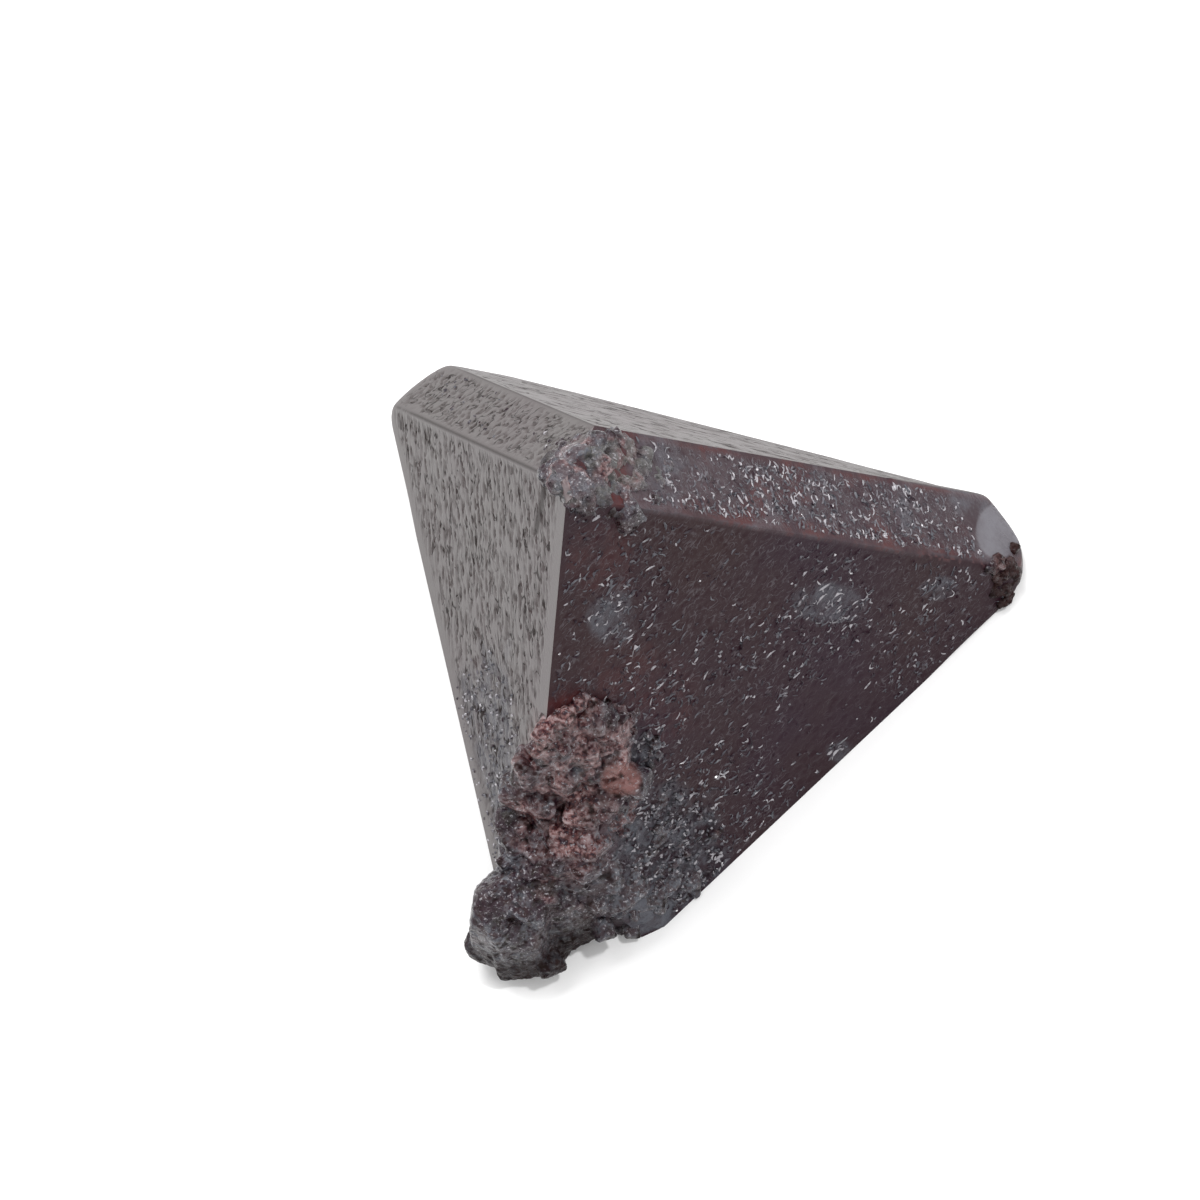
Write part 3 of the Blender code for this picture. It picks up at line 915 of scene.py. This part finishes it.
def edge_shares(points, own, normals, distances, names):
    """How far each point is from the edges of its plane, as a share from 0 at an edge to 1 where marks have
    their full strength. The left face has broad bare strips along two of its edges. Also gives the gaps from
    each point to every plane of the main crystal but its own."""
    gaps = distances - points @ normals.T
    home = np.array([names.index(name) if name in names[: len(distances)] else -1 for name in names])[own]
    gaps[np.arange(len(points))[home >= 0], home[home >= 0]] = FAR
    share = smoothstep(*EDGE_FADE, np.abs(gaps).min(axis=1))
    share[home < 0] = GROWTH_MARKS
    left = own == names.index("left")
    for other, bare in BARE_STRIPS:
        strip = smoothstep(*bare, gaps[:, names.index(other)])
        share = np.where(left, share * strip, share)
    return share, gaps


def crease_shade_lines(plane, gaps, names, seen):
    """Painted shade: thin dark lines along the edges between the left face and its bevel, round the back
    face, and where a narrow facet ends on the left face."""
    lines = np.zeros(len(plane))
    for first, second, strength in SHADED_CREASES:
        for here, there in ((first, second), (second, first)):
            near = 1 - smoothstep(0.0, CREASE_WIDTH, gaps[:, names.index(there)])
            lines = np.maximum(lines, near * strength * (plane == here))
    start, end, half = (np.array(value, float) for value in FACET_SHADE_LINE)
    along = np.clip((seen - start) @ (end - start) / np.sum((end - start) ** 2), 0, 1)
    away = np.linalg.norm(seen - start - along[:, None] * (end - start), axis=1)
    facet_shade = FACET_SHADE_STRENGTH * (1 - smoothstep(0.3 * half, half, away)) * (plane == "left")
    return CREASE_SHADE_DARKNESS * np.maximum(lines, facet_shade)


# The body's relief in millimetres: grains on the fracture and the blunt top, as their size, level and depth,
# and pocks in the rough places, as their size and depth.
BODY_GRAINS = (0.24, 0.6, 0.14)
POCKS = (0.22, 0.10)
BODY_SHARP_ANGLE = 28
FACING = 0.05
BAND_MARGIN = 0.02
MAP_GAP = 90


def colour_body(mesh, points, plane, share, gaps, zone, wobble):
    """Stores where the body's skin is stained, rough, mauve or pale. The upper bevel is mauve, red along
    both edges and in spots, and bluish in other spots."""
    flats, distances, names = crystal_planes()
    bevel = names.index("back_right")
    band = (plane == "back_right") | (distances[bevel] - points @ flats[bevel] < BAND_MARGIN)
    red_edge = band * (1 - smoothstep(0.05, 0.40, gaps[:, names.index("right")] + wobble * 0.3))
    red_edge = np.maximum(red_edge, band * (1 - smoothstep(0.03, 0.16, gaps[:, names.index("back")])))
    red_spots = band * smoothstep(0.10, 0.25, rough_noise(points + 5, 0.8))
    stain = np.clip(zone["broken"] + zone["top"] * 0.4 + 0.8 * red_edge + 0.5 * red_spots, 0, 1)
    brown = np.clip(zone["brown_a"] + zone["brown_b"], 0, 1) * 0.30
    spots = sum(zone[f"frost_{letter}"] for letter in "abcd")
    frost = zone["hump"] + 0.65 * zone["left_rough"] * share + 0.7 * spots + zone["above_hump"]
    frost = np.maximum(frost, band * 0.6 * smoothstep(0.05, 0.2, rough_noise(points - 5, 0.9)))
    smooth_corner = np.isin(plane, [f"corner_{k}" for k in range(5)]) * 0.35
    bare = 1 - zone["corner_pale"]
    set_attribute(mesh, "stain", np.maximum(stain, brown) * bare)
    set_attribute(mesh, "frost", np.clip(frost, 0, 1) * bare)
    set_attribute(mesh, "haze", np.maximum(band, zone["top"] * 0.8))
    set_attribute(mesh, "pale", np.maximum(zone["corner_pale"], smooth_corner))
    set_attribute(mesh, "drift", np.clip(0.5 + rough_noise(points, 2.2) * 1.2, 0, 1))


def flow_map(mesh, points, names, axes):
    """A UV map that lays the finest marks along each plane: the distances along and across its marks, times
    its line pitch. Gives each face's plane number."""
    corners = np.empty(len(mesh.loops), int)
    mesh.loops.foreach_get("vertex_index", corners)
    _, face_own = skin(unit(points[corners.reshape(-1, 3)].mean(axis=1)))
    loop_own = np.repeat(face_own, 3)
    pitch = np.array([LINE_PITCH.get(name, OTHER_PITCH) for name in names])[loop_own]
    where = points[corners]
    uv = [np.sum(where * axes[k][loop_own], axis=1) * pitch[:, k] + MAP_GAP * loop_own for k in (0, 1)]
    mesh.uv_layers.new(name="flow").data.foreach_set("uv", np.stack(uv, axis=1).ravel())
    return face_own


def make_body(sizes, colours):
    """The crystal's main body, with its etch pits sunk into the skin."""
    points, triangles, own = body_surface(GRID)
    normals, _, names = plane_table()
    flats, distances, _ = crystal_planes()
    plane = np.array(names)[own]
    axes = plane_axes(normals, np.array([MARKS.get(name, OTHER_MARKS)[0] for name in names]))
    share, gaps = edge_shares(points, own, flats, distances, names)
    seen = seen_at(points + CENTRE)
    wobble = rough_noise(points, 0.7) * 0.45
    front = normals[own] @ -unit(np.array(FORWARD)) > FACING
    zone = {place: share_of(place, seen, wobble * (place != "corner_pale")) * front for place in PLACES}
    lumpy = np.maximum(zone["top"], np.isin(plane, ("steep", "floor")) * 1.0)
    size, level, deep = BODY_GRAINS
    grains = np.clip(level - cobbles(points, size), 0, 1) * deep * lumpy
    pits = mark_relief(points, own, names, axes, sizes.pit_scale) * share * (1 - lumpy)
    coarse = np.maximum(zone["hump"], 0.6 * zone["left_rough"] * share) * (1 - lumpy)
    coarse = np.maximum(coarse, zone["above_hump"])
    size, deep = POCKS
    pocks = coarse * np.clip(0.5 - rough_noise(points, size), 0, 1) * deep
    depth = pits + grains + pocks * smoothstep(0.0, 0.1, np.abs(gaps).min(axis=1))
    moved = points - normals[own] * depth[:, None] + CENTRE
    moved[:, 2] = np.clip(moved[:, 2], 0, CROWN_HEIGHT)
    made = mesh_object("crystal_body", moved, triangles, smooth_angle=BODY_SHARP_ANGLE)
    mesh = made.data
    colour_body(mesh, points, plane, share, gaps, zone, wobble)
    # Painted shade: darker in the deeper etch pits and along the creases.
    pit_shading = np.clip(pits / 0.08, 0, 1) ** 1.3
    set_attribute(mesh, "pit_shade", np.maximum(pit_shading, crease_shade_lines(plane, gaps, names, seen)))
    quiet = np.maximum(0.5 * zone["corner_pale"], 0.7 * zone["smooth_low"])
    set_attribute(mesh, "lined", share * (1 - lumpy) * (1 - quiet))
    set_attribute(mesh, "matt", np.array([MATT.get(name, OTHER_MATT) for name in names])[own])
    set_attribute(mesh, "gleam", np.array([GLEAM.get(name, OTHER_GLEAM) for name in names])[own])
    face_own = flow_map(mesh, points, names, axes)
    attach(made, etched_zunyite(colours))
    mesh.materials.append(ribbed_zunyite(colours))
    dark = np.isin(np.array(names)[face_own], sorted(DARK_PLANES))
    mesh.polygons.foreach_set("material_index", dark.astype(np.int32))
    return made


def grid_quads(steps):
    """The squares of a grid of steps by steps, as rows of four point numbers."""
    side = steps + 1
    base = (np.arange(steps)[:, None] * side + np.arange(steps)[None]).ravel()
    return np.stack((base, base + side, base + side + 1, base + 1), axis=1)


def ball_grid(steps):
    """A ball's rays: a cube's six sides, each a grid of two parameters, with the points pushed out
    evenly."""
    t = np.tan(np.linspace(-math.pi / 4, math.pi / 4, steps + 1))
    a, b = np.meshgrid(t, t, indexing="ij")
    one = np.ones(a.size)
    sides = []
    for turn in ((0, 1, 2), (1, 2, 0), (2, 0, 1)):
        for sign in (1, -1):
            rows = np.empty((a.size, 3))
            rows[:, turn[0]], rows[:, turn[1]], rows[:, turn[2]] = a.ravel() * sign, b.ravel(), one * sign
            sides.append(rows)
    points = np.concatenate(sides)
    faces = np.concatenate([grid_quads(steps) + k * a.size for k in range(6)])
    _, first, back = np.unique(np.round(points, 6), axis=0, return_index=True, return_inverse=True)
    return unit(points[first]), back.ravel()[faces]


def turned(turn, tilt):
    """A tilt about X and then a turn about Z, as a matrix."""
    return np.array(Matrix.Rotation(math.radians(turn), 3, "Z") @ Matrix.Rotation(math.radians(tilt), 3, "X"))


def crystallite_planes(draw, size, turn, tilt):
    """A block's six sides and the seeded slants that slice its corners, as normals and distances."""
    frame_turn = turned(turn, tilt)
    half = np.array(size) / 2
    normals = [sign * np.eye(3)[k] for k in range(3) for sign in (1, -1)]
    distances = [half[k] for k in range(3) for _ in (1, -1)]
    for azimuth, elevation in SLANTS:
        slant_turn = draw.uniform(-SLANT_JITTER, SLANT_JITTER)
        slant_tilt = draw.uniform(-SLANT_JITTER, SLANT_JITTER)
        normal = turned(slant_turn, slant_tilt) @ direction(azimuth, elevation)
        distances.append(draw.uniform(*SLICE_SHARE) * float(np.abs(normal) @ half))
        normals.append(normal)
    return np.array(normals) @ frame_turn.T, np.array(distances)


def tip_solids():
    """Every lump, block, piece of rubble and knob: centre, plane normals and plane distances."""
    draw = random.Random(CRYSTALLITE_SEED)
    solids = []
    for centre, facets in LUMPS.values():
        normals = np.array([direction(a, e) for a, e, _ in facets])
        solids.append((np.array(centre), normals, np.array([d for _, _, d in facets])))
    for centre, size, turn, tilt in TIP_BLOCKS:
        solids.append((np.array(centre), *crystallite_planes(draw, size, turn, tilt)))
    for centre, size in RUBBLE + KNOBS:
        sides = [size * draw.uniform(*RUBBLE_SPREAD) for _ in range(3)]
        turn, tilt = draw.uniform(0, 90), draw.uniform(*RUBBLE_TILT)
        solids.append((np.array(centre), *crystallite_planes(draw, sides, turn, tilt)))
    return solids


# Small grains: the grid whose points they may sit on, how far they stray from it in millimetres, their sides
# against their size and their tilt.
SEAT_GRID = 60
GRAIN_STRAY = 0.08
GRAIN_SPREAD = (0.75, 1.3)
GRAIN_TILT = (-40, 40)

# Grains on the break: how many, seed, sizes in millimetres, and how far their middles lie above the skin as
# a share of their size. The second crowd fills the break's upper rim.
BREAK_FOOT = 1.6
ON_BREAK = (360, 23, (0.13, 0.34), 0.12)
ON_BREAK_RIM = (90, 53, (0.12, 0.30), 0.10)

# Crusts: the place, the least share of it, a place left bare, and then as above.
CRUSTS = [
    ("top", 0.25, None, 150, 29, (0.20, 0.44), -0.62),
    ("hump", 0.60, None, 30, 31, (0.60, 1.10), -0.56),
    ("hump", 0.50, None, 50, 43, (0.14, 0.28), -0.42),
    ("above_hump", 0.30, None, 24, 37, (0.12, 0.24), -0.38),
    ("corner_rim", 0.30, "corner_pale", 40, 41, (0.14, 0.25), -0.36),
]

# Heaps: how sharp the edges of their solids are, how fine each solid's grid is, and their grains as size,
# height and shift of the pattern, in millimetres.
TIP_SHARPNESS = 40
CRUST_SHARPNESS = 24
BALL_STEPS = 14
HEAP_SHARP_ANGLE = 32
HEAP_GRAINS = ((0.20, 0.020, 0), (0.12, 0.025, 9))
GRAIN_LEVEL = 0.55
HEAP_ROUGHNESS = (0.30, 0.035)
HEAP_FOOT = 0.02


def grains_on_skin(wanted, count, seed, sizes_mm, lift):
    """Small grains seated on the body's skin in one place: centres drawn from its points, and blocks about
    them."""
    points, _, own = body_surface(SEAT_GRID)
    normals, _, names = plane_table()
    chosen = np.flatnonzero(wanted(points + CENTRE, own, names))
    rng = np.random.default_rng(seed)
    draw = random.Random(seed)
    solids = []
    for index in rng.choice(chosen, count):
        side = draw.uniform(*sizes_mm)
        centre = points[index] + CENTRE + rng.normal(0, GRAIN_STRAY, 3) + normals[own[index]] * side * lift
        sides = [side * draw.uniform(*GRAIN_SPREAD) for _ in range(3)]
        turn, tilt = draw.uniform(0, 90), draw.uniform(*GRAIN_TILT)
        solids.append((centre, *crystallite_planes(draw, sides, turn, tilt)))
    return solids


def on_break(points, own, names):
    """True on the fracture, above the lumps."""
    return (own >= len(names) - 2) & (points[:, 2] > BREAK_FOOT)


def seen_in(place, least, but=None):
    """A test that is true where the camera sees more than the least share of a place, not edge on, and not
    in another place that is to stay bare."""
    forward = unit(np.array(FORWARD))

    def test(points, own, names):
        normals, seen = plane_table()[0], seen_at(points)
        chosen = (share_of(place, seen, 0) > least) & (normals[own] @ forward < -0.2)
        return chosen & (share_of(but, seen, 0) < 0.05) if but else chosen

    return test


def joined_by_voxels(made, voxel):
    """Replaces a piece's mesh by one closed skin round all of its solids. Gives the mesh."""
    modifier = made.modifiers.new("join", "REMESH")
    modifier.mode = "VOXEL"
    modifier.voxel_size = voxel
    graph = bpy.context.evaluated_depsgraph_get()
    mesh = bpy.data.meshes.new_from_object(made.evaluated_get(graph))
    made.modifiers.clear()
    made.data = mesh
    mesh.name = made.name
    return mesh


def colour_heap(mesh, points):
    """Stores where a heap is rusty, bluish, greenish, mauve, orange or in painted shade. The painted shade
    darkens it between its grains and at its foot."""
    seen = seen_at(points)
    wobble = rough_noise(points, 0.6) * 0.5
    places = ("broken", "top", "hump", "ember", "corner_rim")
    zone = {place: share_of(place, seen, wobble) for place in places}
    red_patches = smoothstep(0.0, 0.25, rough_noise(points + 9, 0.5))
    red_spots = smoothstep(0.15, 0.40, rough_noise(points + 23, 0.9)) * (1 - zone["hump"])
    rust = zone["broken"] * np.clip(0.6 + rough_noise(points + 3, 0.5) * 1.4, 0, 1)
    for more in (zone["top"] * red_patches * 0.7, 0.7 * red_spots, 0.5 * zone["corner_rim"]):
        rust = np.maximum(rust, more)
    green = smoothstep(0.05, 0.25, rough_noise(points - 4, 0.6))
    frost = np.clip(0.70 + rough_noise(points + 11, 0.5) * 1.6, 0, 1) * (1 - 0.8 * rust)
    frost = np.maximum(frost, np.maximum(zone["hump"], 0.3 * zone["top"] * (1 - red_patches)))
    # Painted shade: darker towards the foot, near the floor, and between the grains.
    low = 0.8 * (1 - smoothstep(0.8, 1.9, points[:, 2] + 0.6 * wobble)) * (1 - zone["hump"])
    between = 0.9 * smoothstep(0.62, 0.95, cobbles(points, 0.20)) * (1 - 0.6 * zone["top"])
    set_attribute(mesh, "rust", rust)
    set_attribute(mesh, "frost", frost * (1 - 0.6 * zone["corner_rim"]))
    set_attribute(mesh, "lichen", 0.6 * zone["top"] * (1 - red_patches) * green)
    set_attribute(mesh, "haze", np.maximum(zone["top"], 0.4 * zone["hump"]))
    set_attribute(mesh, "ember", zone["ember"] * 0.8)
    set_attribute(mesh, "hollow_shade", np.maximum(between, low))


def heap(name, solids, sharpness, sizes, colours):
    """Closed solids joined into one skin by voxels, then roughened with rounded grains and noise."""
    rays, quads = ball_grid(BALL_STEPS)
    all_points, all_quads = [], []
    for index, (centre, normals, distances) in enumerate(solids):
        rows = centre + rays * joined(reaches(rays, normals, distances), sharpness)[:, None]
        rows[:, 2] = np.maximum(rows[:, 2], GROUND_CLEARANCE)
        all_points.append(rows)
        all_quads.append(quads + index * len(rays))
    made = mesh_object(name, np.concatenate(all_points), np.concatenate(all_quads))
    mesh = joined_by_voxels(made, sizes.grain)
    points = mesh_points(mesh)
    flat = np.empty(len(mesh.vertices) * 3)
    mesh.vertices.foreach_get("normal", flat)
    size, height = HEAP_ROUGHNESS
    push = rough_noise(points, size) * height
    for size, height, shift in HEAP_GRAINS:
        push += (GRAIN_LEVEL - cobbles(points + shift, size)) * height
    points = points + flat.reshape(-1, 3) * push[:, None]
    points[:, 2] = np.clip(points[:, 2], HEAP_FOOT, TOP_HEIGHT)
    mesh.vertices.foreach_set("co", ((points + AXIS) * MM).ravel())
    mesh.update()
    mesh.shade_smooth()
    mesh.set_sharp_from_angle(angle=math.radians(HEAP_SHARP_ANGLE))
    colour_heap(mesh, points)
    attach(made, bpy.data.materials.get("broken_zunyite") or broken_zunyite(colours))
    return made


def make_tip(sizes, colours):
    """The crystals heaped on the fracture: lumps, blocks, rubble and small grains."""
    solids = tip_solids()[: -len(KNOBS)]
    solids += grains_on_skin(on_break, *ON_BREAK)
    solids += grains_on_skin(seen_in("break_rim", 0.25), *ON_BREAK_RIM)
    return heap("tip_crystals", solids, TIP_SHARPNESS, sizes, colours)


def make_crust(sizes, colours):
    """Crystals that stand little above the skin: on the blunt top, in the rough place beside the fracture
    and on the right corner."""
    solids = tip_solids()[-len(KNOBS) :]
    for place, least, bare, *crowd in CRUSTS:
        solids += grains_on_skin(seen_in(place, least, bare), *crowd)
    return heap("crust_crystals", solids, CRUST_SHARPNESS, sizes, colours)


def ridge_shape():
    """A slim pointed ridge: an eight-point rim, pointed at both ends, under a short raised crest."""
    angles = np.linspace(0, 2 * math.pi, 8, endpoint=False)
    rim = np.stack((np.cos(angles), np.sin(angles) * 0.9, np.full(8, -0.6)), axis=1)
    crest = np.array(((0.45, 0.1, 1.0), (-0.45, -0.1, 1.0)))
    floor = np.array(((0.0, 0.0, -1.2),))
    points = np.concatenate((rim, crest, floor))
    front, rear, under = 8, 9, 10
    triangles = []
    for k in range(8):
        top = front if k in (0, 1, 6, 7) else rear
        triangles.append((k, (k + 1) % 8, top))
        triangles.append(((k + 1) % 8, k, under))
    triangles += [(2, rear, front), (6, front, rear)]
    return points, np.array(triangles)


def plane_points(rng, name, density, margin):
    """Seeded points evenly spread over one plane of the crystal, no closer to its edges than the margin, and
    lifted onto the skin where something has overgrown it."""
    normals, distances, names = crystal_planes()
    index = names.index(name)
    along, across = (axis[index] for axis in plane_axes(normals, np.zeros(len(names))))
    half = 0.62 * EDGE
    u, v = rng.uniform(-half, half, (2, int(density * 4 * half * half)))
    points = normals[index] * distances[index] + u[:, None] * along + v[:, None] * across
    gaps = distances - points @ normals.T
    gaps[:, index] = FAR
    points = points[gaps.min(axis=1) > margin]
    radius, own = skin(unit(points))
    all_names = np.array(plane_table()[2])
    return (unit(points) * radius[:, None])[all_names[own] == name], index


# Growth ridges: plane, how many on a square millimetre, usual turn, spread of it, length range, darkening of
# their painted pale tone, and the place that they keep to, if any. Then their seed, their distance from an
# edge, widths, heights against the usual, bend, the share that keeps the usual turn, and how patchy they are
# on each plane.
RIDGES = [
    ("right", 52, 90, 40, (0.07, 0.27), 2.1, None),
    ("right", 60, 60, 90, (0.05, 0.14), 1.0, "hump"),
    ("right", 60, 60, 90, (0.05, 0.14), 1.2, "above_hump"),
    ("right", 30, 90, 20, (0.10, 0.34), 1.0, "frost_a"),
    ("right", 50, 90, 12, (0.12, 0.40), 0.8, "frost_b"),
    ("right", 50, 90, 12, (0.12, 0.40), 0.8, "frost_c"),
    ("right", 50, 90, 20, (0.12, 0.30), 0.9, "frost_d"),
    ("corner_8", 40, 90, 90, (0.05, 0.15), 1.2, "hump"),
    ("back_right", 78, 80, 60, (0.08, 0.25), 0.9, None),
    ("back_left", 7, 150, 60, (0.06, 0.16), 4.0, None),
    ("left", 20, 130, 50, (0.05, 0.13), 0.8, "left_rough"),
]


RIDGE_SEED = 77
RIDGE_MARGIN = 0.10
RIDGE_WIDTHS = (0.030, 0.066)
RIDGE_HEIGHTS = (0.5, 1.3)
RIDGE_BEND = 0.42
RIDGES_IN_LINE = 0.65
PATCHINESS = {"back_right": 0.28}
OTHER_PATCHINESS = 0.42


def make_ridges(sizes, colours):
    """Small growth ridges on the right face, a corner facet, the two upper bevels and the left face's rough
    place, each bent a little.
    """
    rng = np.random.default_rng(RIDGE_SEED)
    normals, _, _ = crystal_planes()
    up_axes, side_axes = plane_axes(normals, np.zeros(len(normals)))
    shape, triangles = ridge_shape()
    rows, tones = [], []
    for name, density, turn, spread, lengths, darkening, place in RIDGES:
        points, index = plane_points(rng, name, density * sizes.ridge_share, RIDGE_MARGIN)
        seen = seen_at(points + CENTRE)
        clear = sum(share_of(taken, seen, 0) for taken in ("broken", "top", "corner_pale")) < 0.3
        sparse = PATCHINESS.get(name, OTHER_PATCHINESS)
        patchy = noise(points, 0.8) + rng.uniform(-0.25, 0.25, len(points)) > sparse
        patchy &= share_of("smooth_low", seen, 0) * 0.8 < rng.random(len(points))
        if place:
            patchy = share_of(place, seen, 0) > rng.uniform(0.2, 0.9, len(points))
        points = points[clear & patchy]
        count = len(points)
        straight = turn + rng.normal(0, spread, count)
        in_line = rng.random(count) < RIDGES_IN_LINE
        turns = np.radians(np.where(in_line, straight, rng.uniform(0, 180, count)))[:, None]
        along = up_axes[index] * np.cos(turns) + side_axes[index] * np.sin(turns)
        across = np.cross(normals[index], along)
        length = lengths[0] + (lengths[1] - lengths[0]) * rng.random(count) ** 2
        width = rng.uniform(*RIDGE_WIDTHS, count)
        height = rng.uniform(*RIDGE_HEIGHTS, count) * sizes.ridge_height / MM
        bend = rng.normal(0, RIDGE_BEND, count) * length
        x = shape[None, :, 0] * length[:, None] / 2
        y = shape[None, :, 1] * width[:, None] / 2 + bend[:, None] * (shape[None, :, 0] ** 2 - 0.4)
        z = shape[None, :, 2] * height[:, None]
        row = points[:, None] + x[..., None] * along[:, None] + y[..., None] * across[:, None]
        row += z[..., None] * normals[index]
        lifted = (row[..., 2] + INRADIUS).min(axis=1) > GROUND_CLEARANCE
        rows.append(row[lifted])
        # Each ridge's painted reflection: a random pale tone, skewed darker by its row's darkening.
        tones.append(np.repeat((rng.random(count) ** darkening)[lifted], len(shape)))
    rows = np.concatenate(rows)
    faces = triangles[None] + len(shape) * np.arange(len(rows))[:, None, None]
    made = mesh_object("growth_ridges", rows.reshape(-1, 3) + CENTRE, faces.reshape(-1, 3))
    set_attribute(made.data, "sheen_tone", np.concatenate(tones))
    attach(made, ridge_zunyite(colours))
    return made


# Stage

FLOOR_REACH = 0.6
FLOOR_STEPS = 12
AIM = (0, 0, 0.004)
KEY_LIGHT = ("key", (-0.12, 0.10, 0.30), 0.16)
SPARK_LIGHT = ("spark", (0.10, 0.06, 0.30), 0.025)
CAMERA_CLIP = (0.005, 5.0)


def point_at(made, eye, target, up=(0, 0, 1)):
    """Turns an object so that it looks from one point at another."""
    back = (Vector(eye) - Vector(target)).normalized()
    right = Vector(up).cross(back).normalized()
    upward = back.cross(right)
    rows = [(right[k], upward[k], back[k], eye[k]) for k in range(3)]
    made.matrix_world = Matrix((*rows, (0, 0, 0, 1)))


def make_floor(settings):
    """A flat square of card under the crystal."""
    t = np.linspace(-FLOOR_REACH, FLOOR_REACH, FLOOR_STEPS + 1)
    x, y = np.meshgrid(t, t, indexing="ij")
    points = np.stack((x.ravel(), y.ravel(), np.zeros(x.size)), axis=1)
    mesh = bpy.data.meshes.new("floor")
    mesh.from_pydata(points.tolist(), [], grid_quads(FLOOR_STEPS).tolist())
    made = bpy.data.objects.new("floor", mesh)
    bpy.context.scene.collection.objects.link(made)
    mesh.materials.append(white_card(settings))


def make_light(name, place, size, power):
    """A square area light, turned to the crystal."""
    light = bpy.data.lights.new(name, "AREA")
    light.shape = "SQUARE"
    light.size = size
    light.energy = power
    made = bpy.data.objects.new(name, light)
    bpy.context.scene.collection.objects.link(made)
    point_at(made, place, AIM)


def make_lights(settings):
    """Even surroundings, a large soft light from the upper left and a small one for glints."""
    world = bpy.data.worlds.new("surroundings")
    world.use_nodes = True
    background = world.node_tree.nodes["Background"]
    background.inputs["Color"].default_value = (1, 1, 1, 1)
    background.inputs["Strength"].default_value = settings.sky
    bpy.context.scene.world = world
    make_light(*KEY_LIGHT, settings.key)
    make_light(*SPARK_LIGHT, settings.spark)


def make_camera():
    """The camera at the photograph's viewing angle."""
    data = bpy.data.cameras.new("camera")
    data.lens = LENS_MM
    data.sensor_width = SENSOR_MM
    data.clip_start, data.clip_end = CAMERA_CLIP
    made = bpy.data.objects.new("camera", data)
    bpy.context.scene.collection.objects.link(made)
    eye = Vector(EYE) * MM
    point_at(made, eye, eye + Vector(FORWARD), UP)
    bpy.context.scene.camera = made


class CRYSTAL_OT_body(bpy.types.Operator):
    """Make the crystal's main body with its etched faces"""

    bl_idname = "crystal.body"
    bl_label = "Crystal Body"

    def execute(self, context):
        make_body(context.scene.crystal_sizes, context.scene.crystal_colours)
        return {"FINISHED"}


class CRYSTAL_OT_tip(bpy.types.Operator):
    """Make the crystals heaped on the broken tip"""

    bl_idname = "crystal.tip"
    bl_label = "Tip Crystals"

    def execute(self, context):
        make_tip(context.scene.crystal_sizes, context.scene.crystal_colours)
        return {"FINISHED"}


class CRYSTAL_OT_crust(bpy.types.Operator):
    """Make the crystals that stand little above the skin"""

    bl_idname = "crystal.crust"
    bl_label = "Crust Crystals"

    def execute(self, context):
        make_crust(context.scene.crystal_sizes, context.scene.crystal_colours)
        return {"FINISHED"}


class CRYSTAL_OT_ridges(bpy.types.Operator):
    """Make the small growth ridges on the faces"""

    bl_idname = "crystal.ridges"
    bl_label = "Growth Ridges"

    def execute(self, context):
        make_ridges(context.scene.crystal_sizes, context.scene.crystal_colours)
        return {"FINISHED"}


class CRYSTAL_OT_stage(bpy.types.Operator):
    """Make the floor, the lights and the camera"""

    bl_idname = "crystal.stage"
    bl_label = "Stage"

    def execute(self, context):
        make_floor(context.scene.crystal_stage)
        make_lights(context.scene.crystal_stage)
        make_camera()
        context.scene.view_settings.view_transform = "Standard"
        return {"FINISHED"}


OPERATORS = (CRYSTAL_OT_body, CRYSTAL_OT_tip, CRYSTAL_OT_crust, CRYSTAL_OT_ridges, CRYSTAL_OT_stage)


class CRYSTAL_PT_panel(bpy.types.Panel):
    """Lists the pieces in the sidebar"""

    bl_idname = "CRYSTAL_PT_panel"
    bl_label = "Zunyite Crystal"
    bl_space_type = "VIEW_3D"
    bl_region_type = "UI"
    bl_category = "Crystal"

    def draw(self, context):
        scene = context.scene
        for group in (scene.crystal_sizes, scene.crystal_colours, scene.crystal_stage):
            for name in group.bl_rna.properties.keys():
                if name not in {"rna_type", "name"}:
                    self.layout.prop(group, name)
        for operator in OPERATORS:
            self.layout.operator(operator.bl_idname)


CLASSES = (CrystalSizes, CrystalColours, StageSettings, *OPERATORS, CRYSTAL_PT_panel)


def register():
    for made in CLASSES:
        bpy.utils.register_class(made)
    bpy.types.Scene.crystal_sizes = bpy.props.PointerProperty(type=CrystalSizes)
    bpy.types.Scene.crystal_colours = bpy.props.PointerProperty(type=CrystalColours)
    bpy.types.Scene.crystal_stage = bpy.props.PointerProperty(type=StageSettings)


def unregister():
    del bpy.types.Scene.crystal_stage
    del bpy.types.Scene.crystal_colours
    del bpy.types.Scene.crystal_sizes
    for made in reversed(CLASSES):
        bpy.utils.unregister_class(made)


def main():
    """Registers the add-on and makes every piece."""
    register()
    bpy.ops.crystal.body()
    bpy.ops.crystal.tip()
    bpy.ops.crystal.crust()
    bpy.ops.crystal.ridges()
    bpy.ops.crystal.stage()
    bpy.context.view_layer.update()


if __name__ == "__main__":
    main()
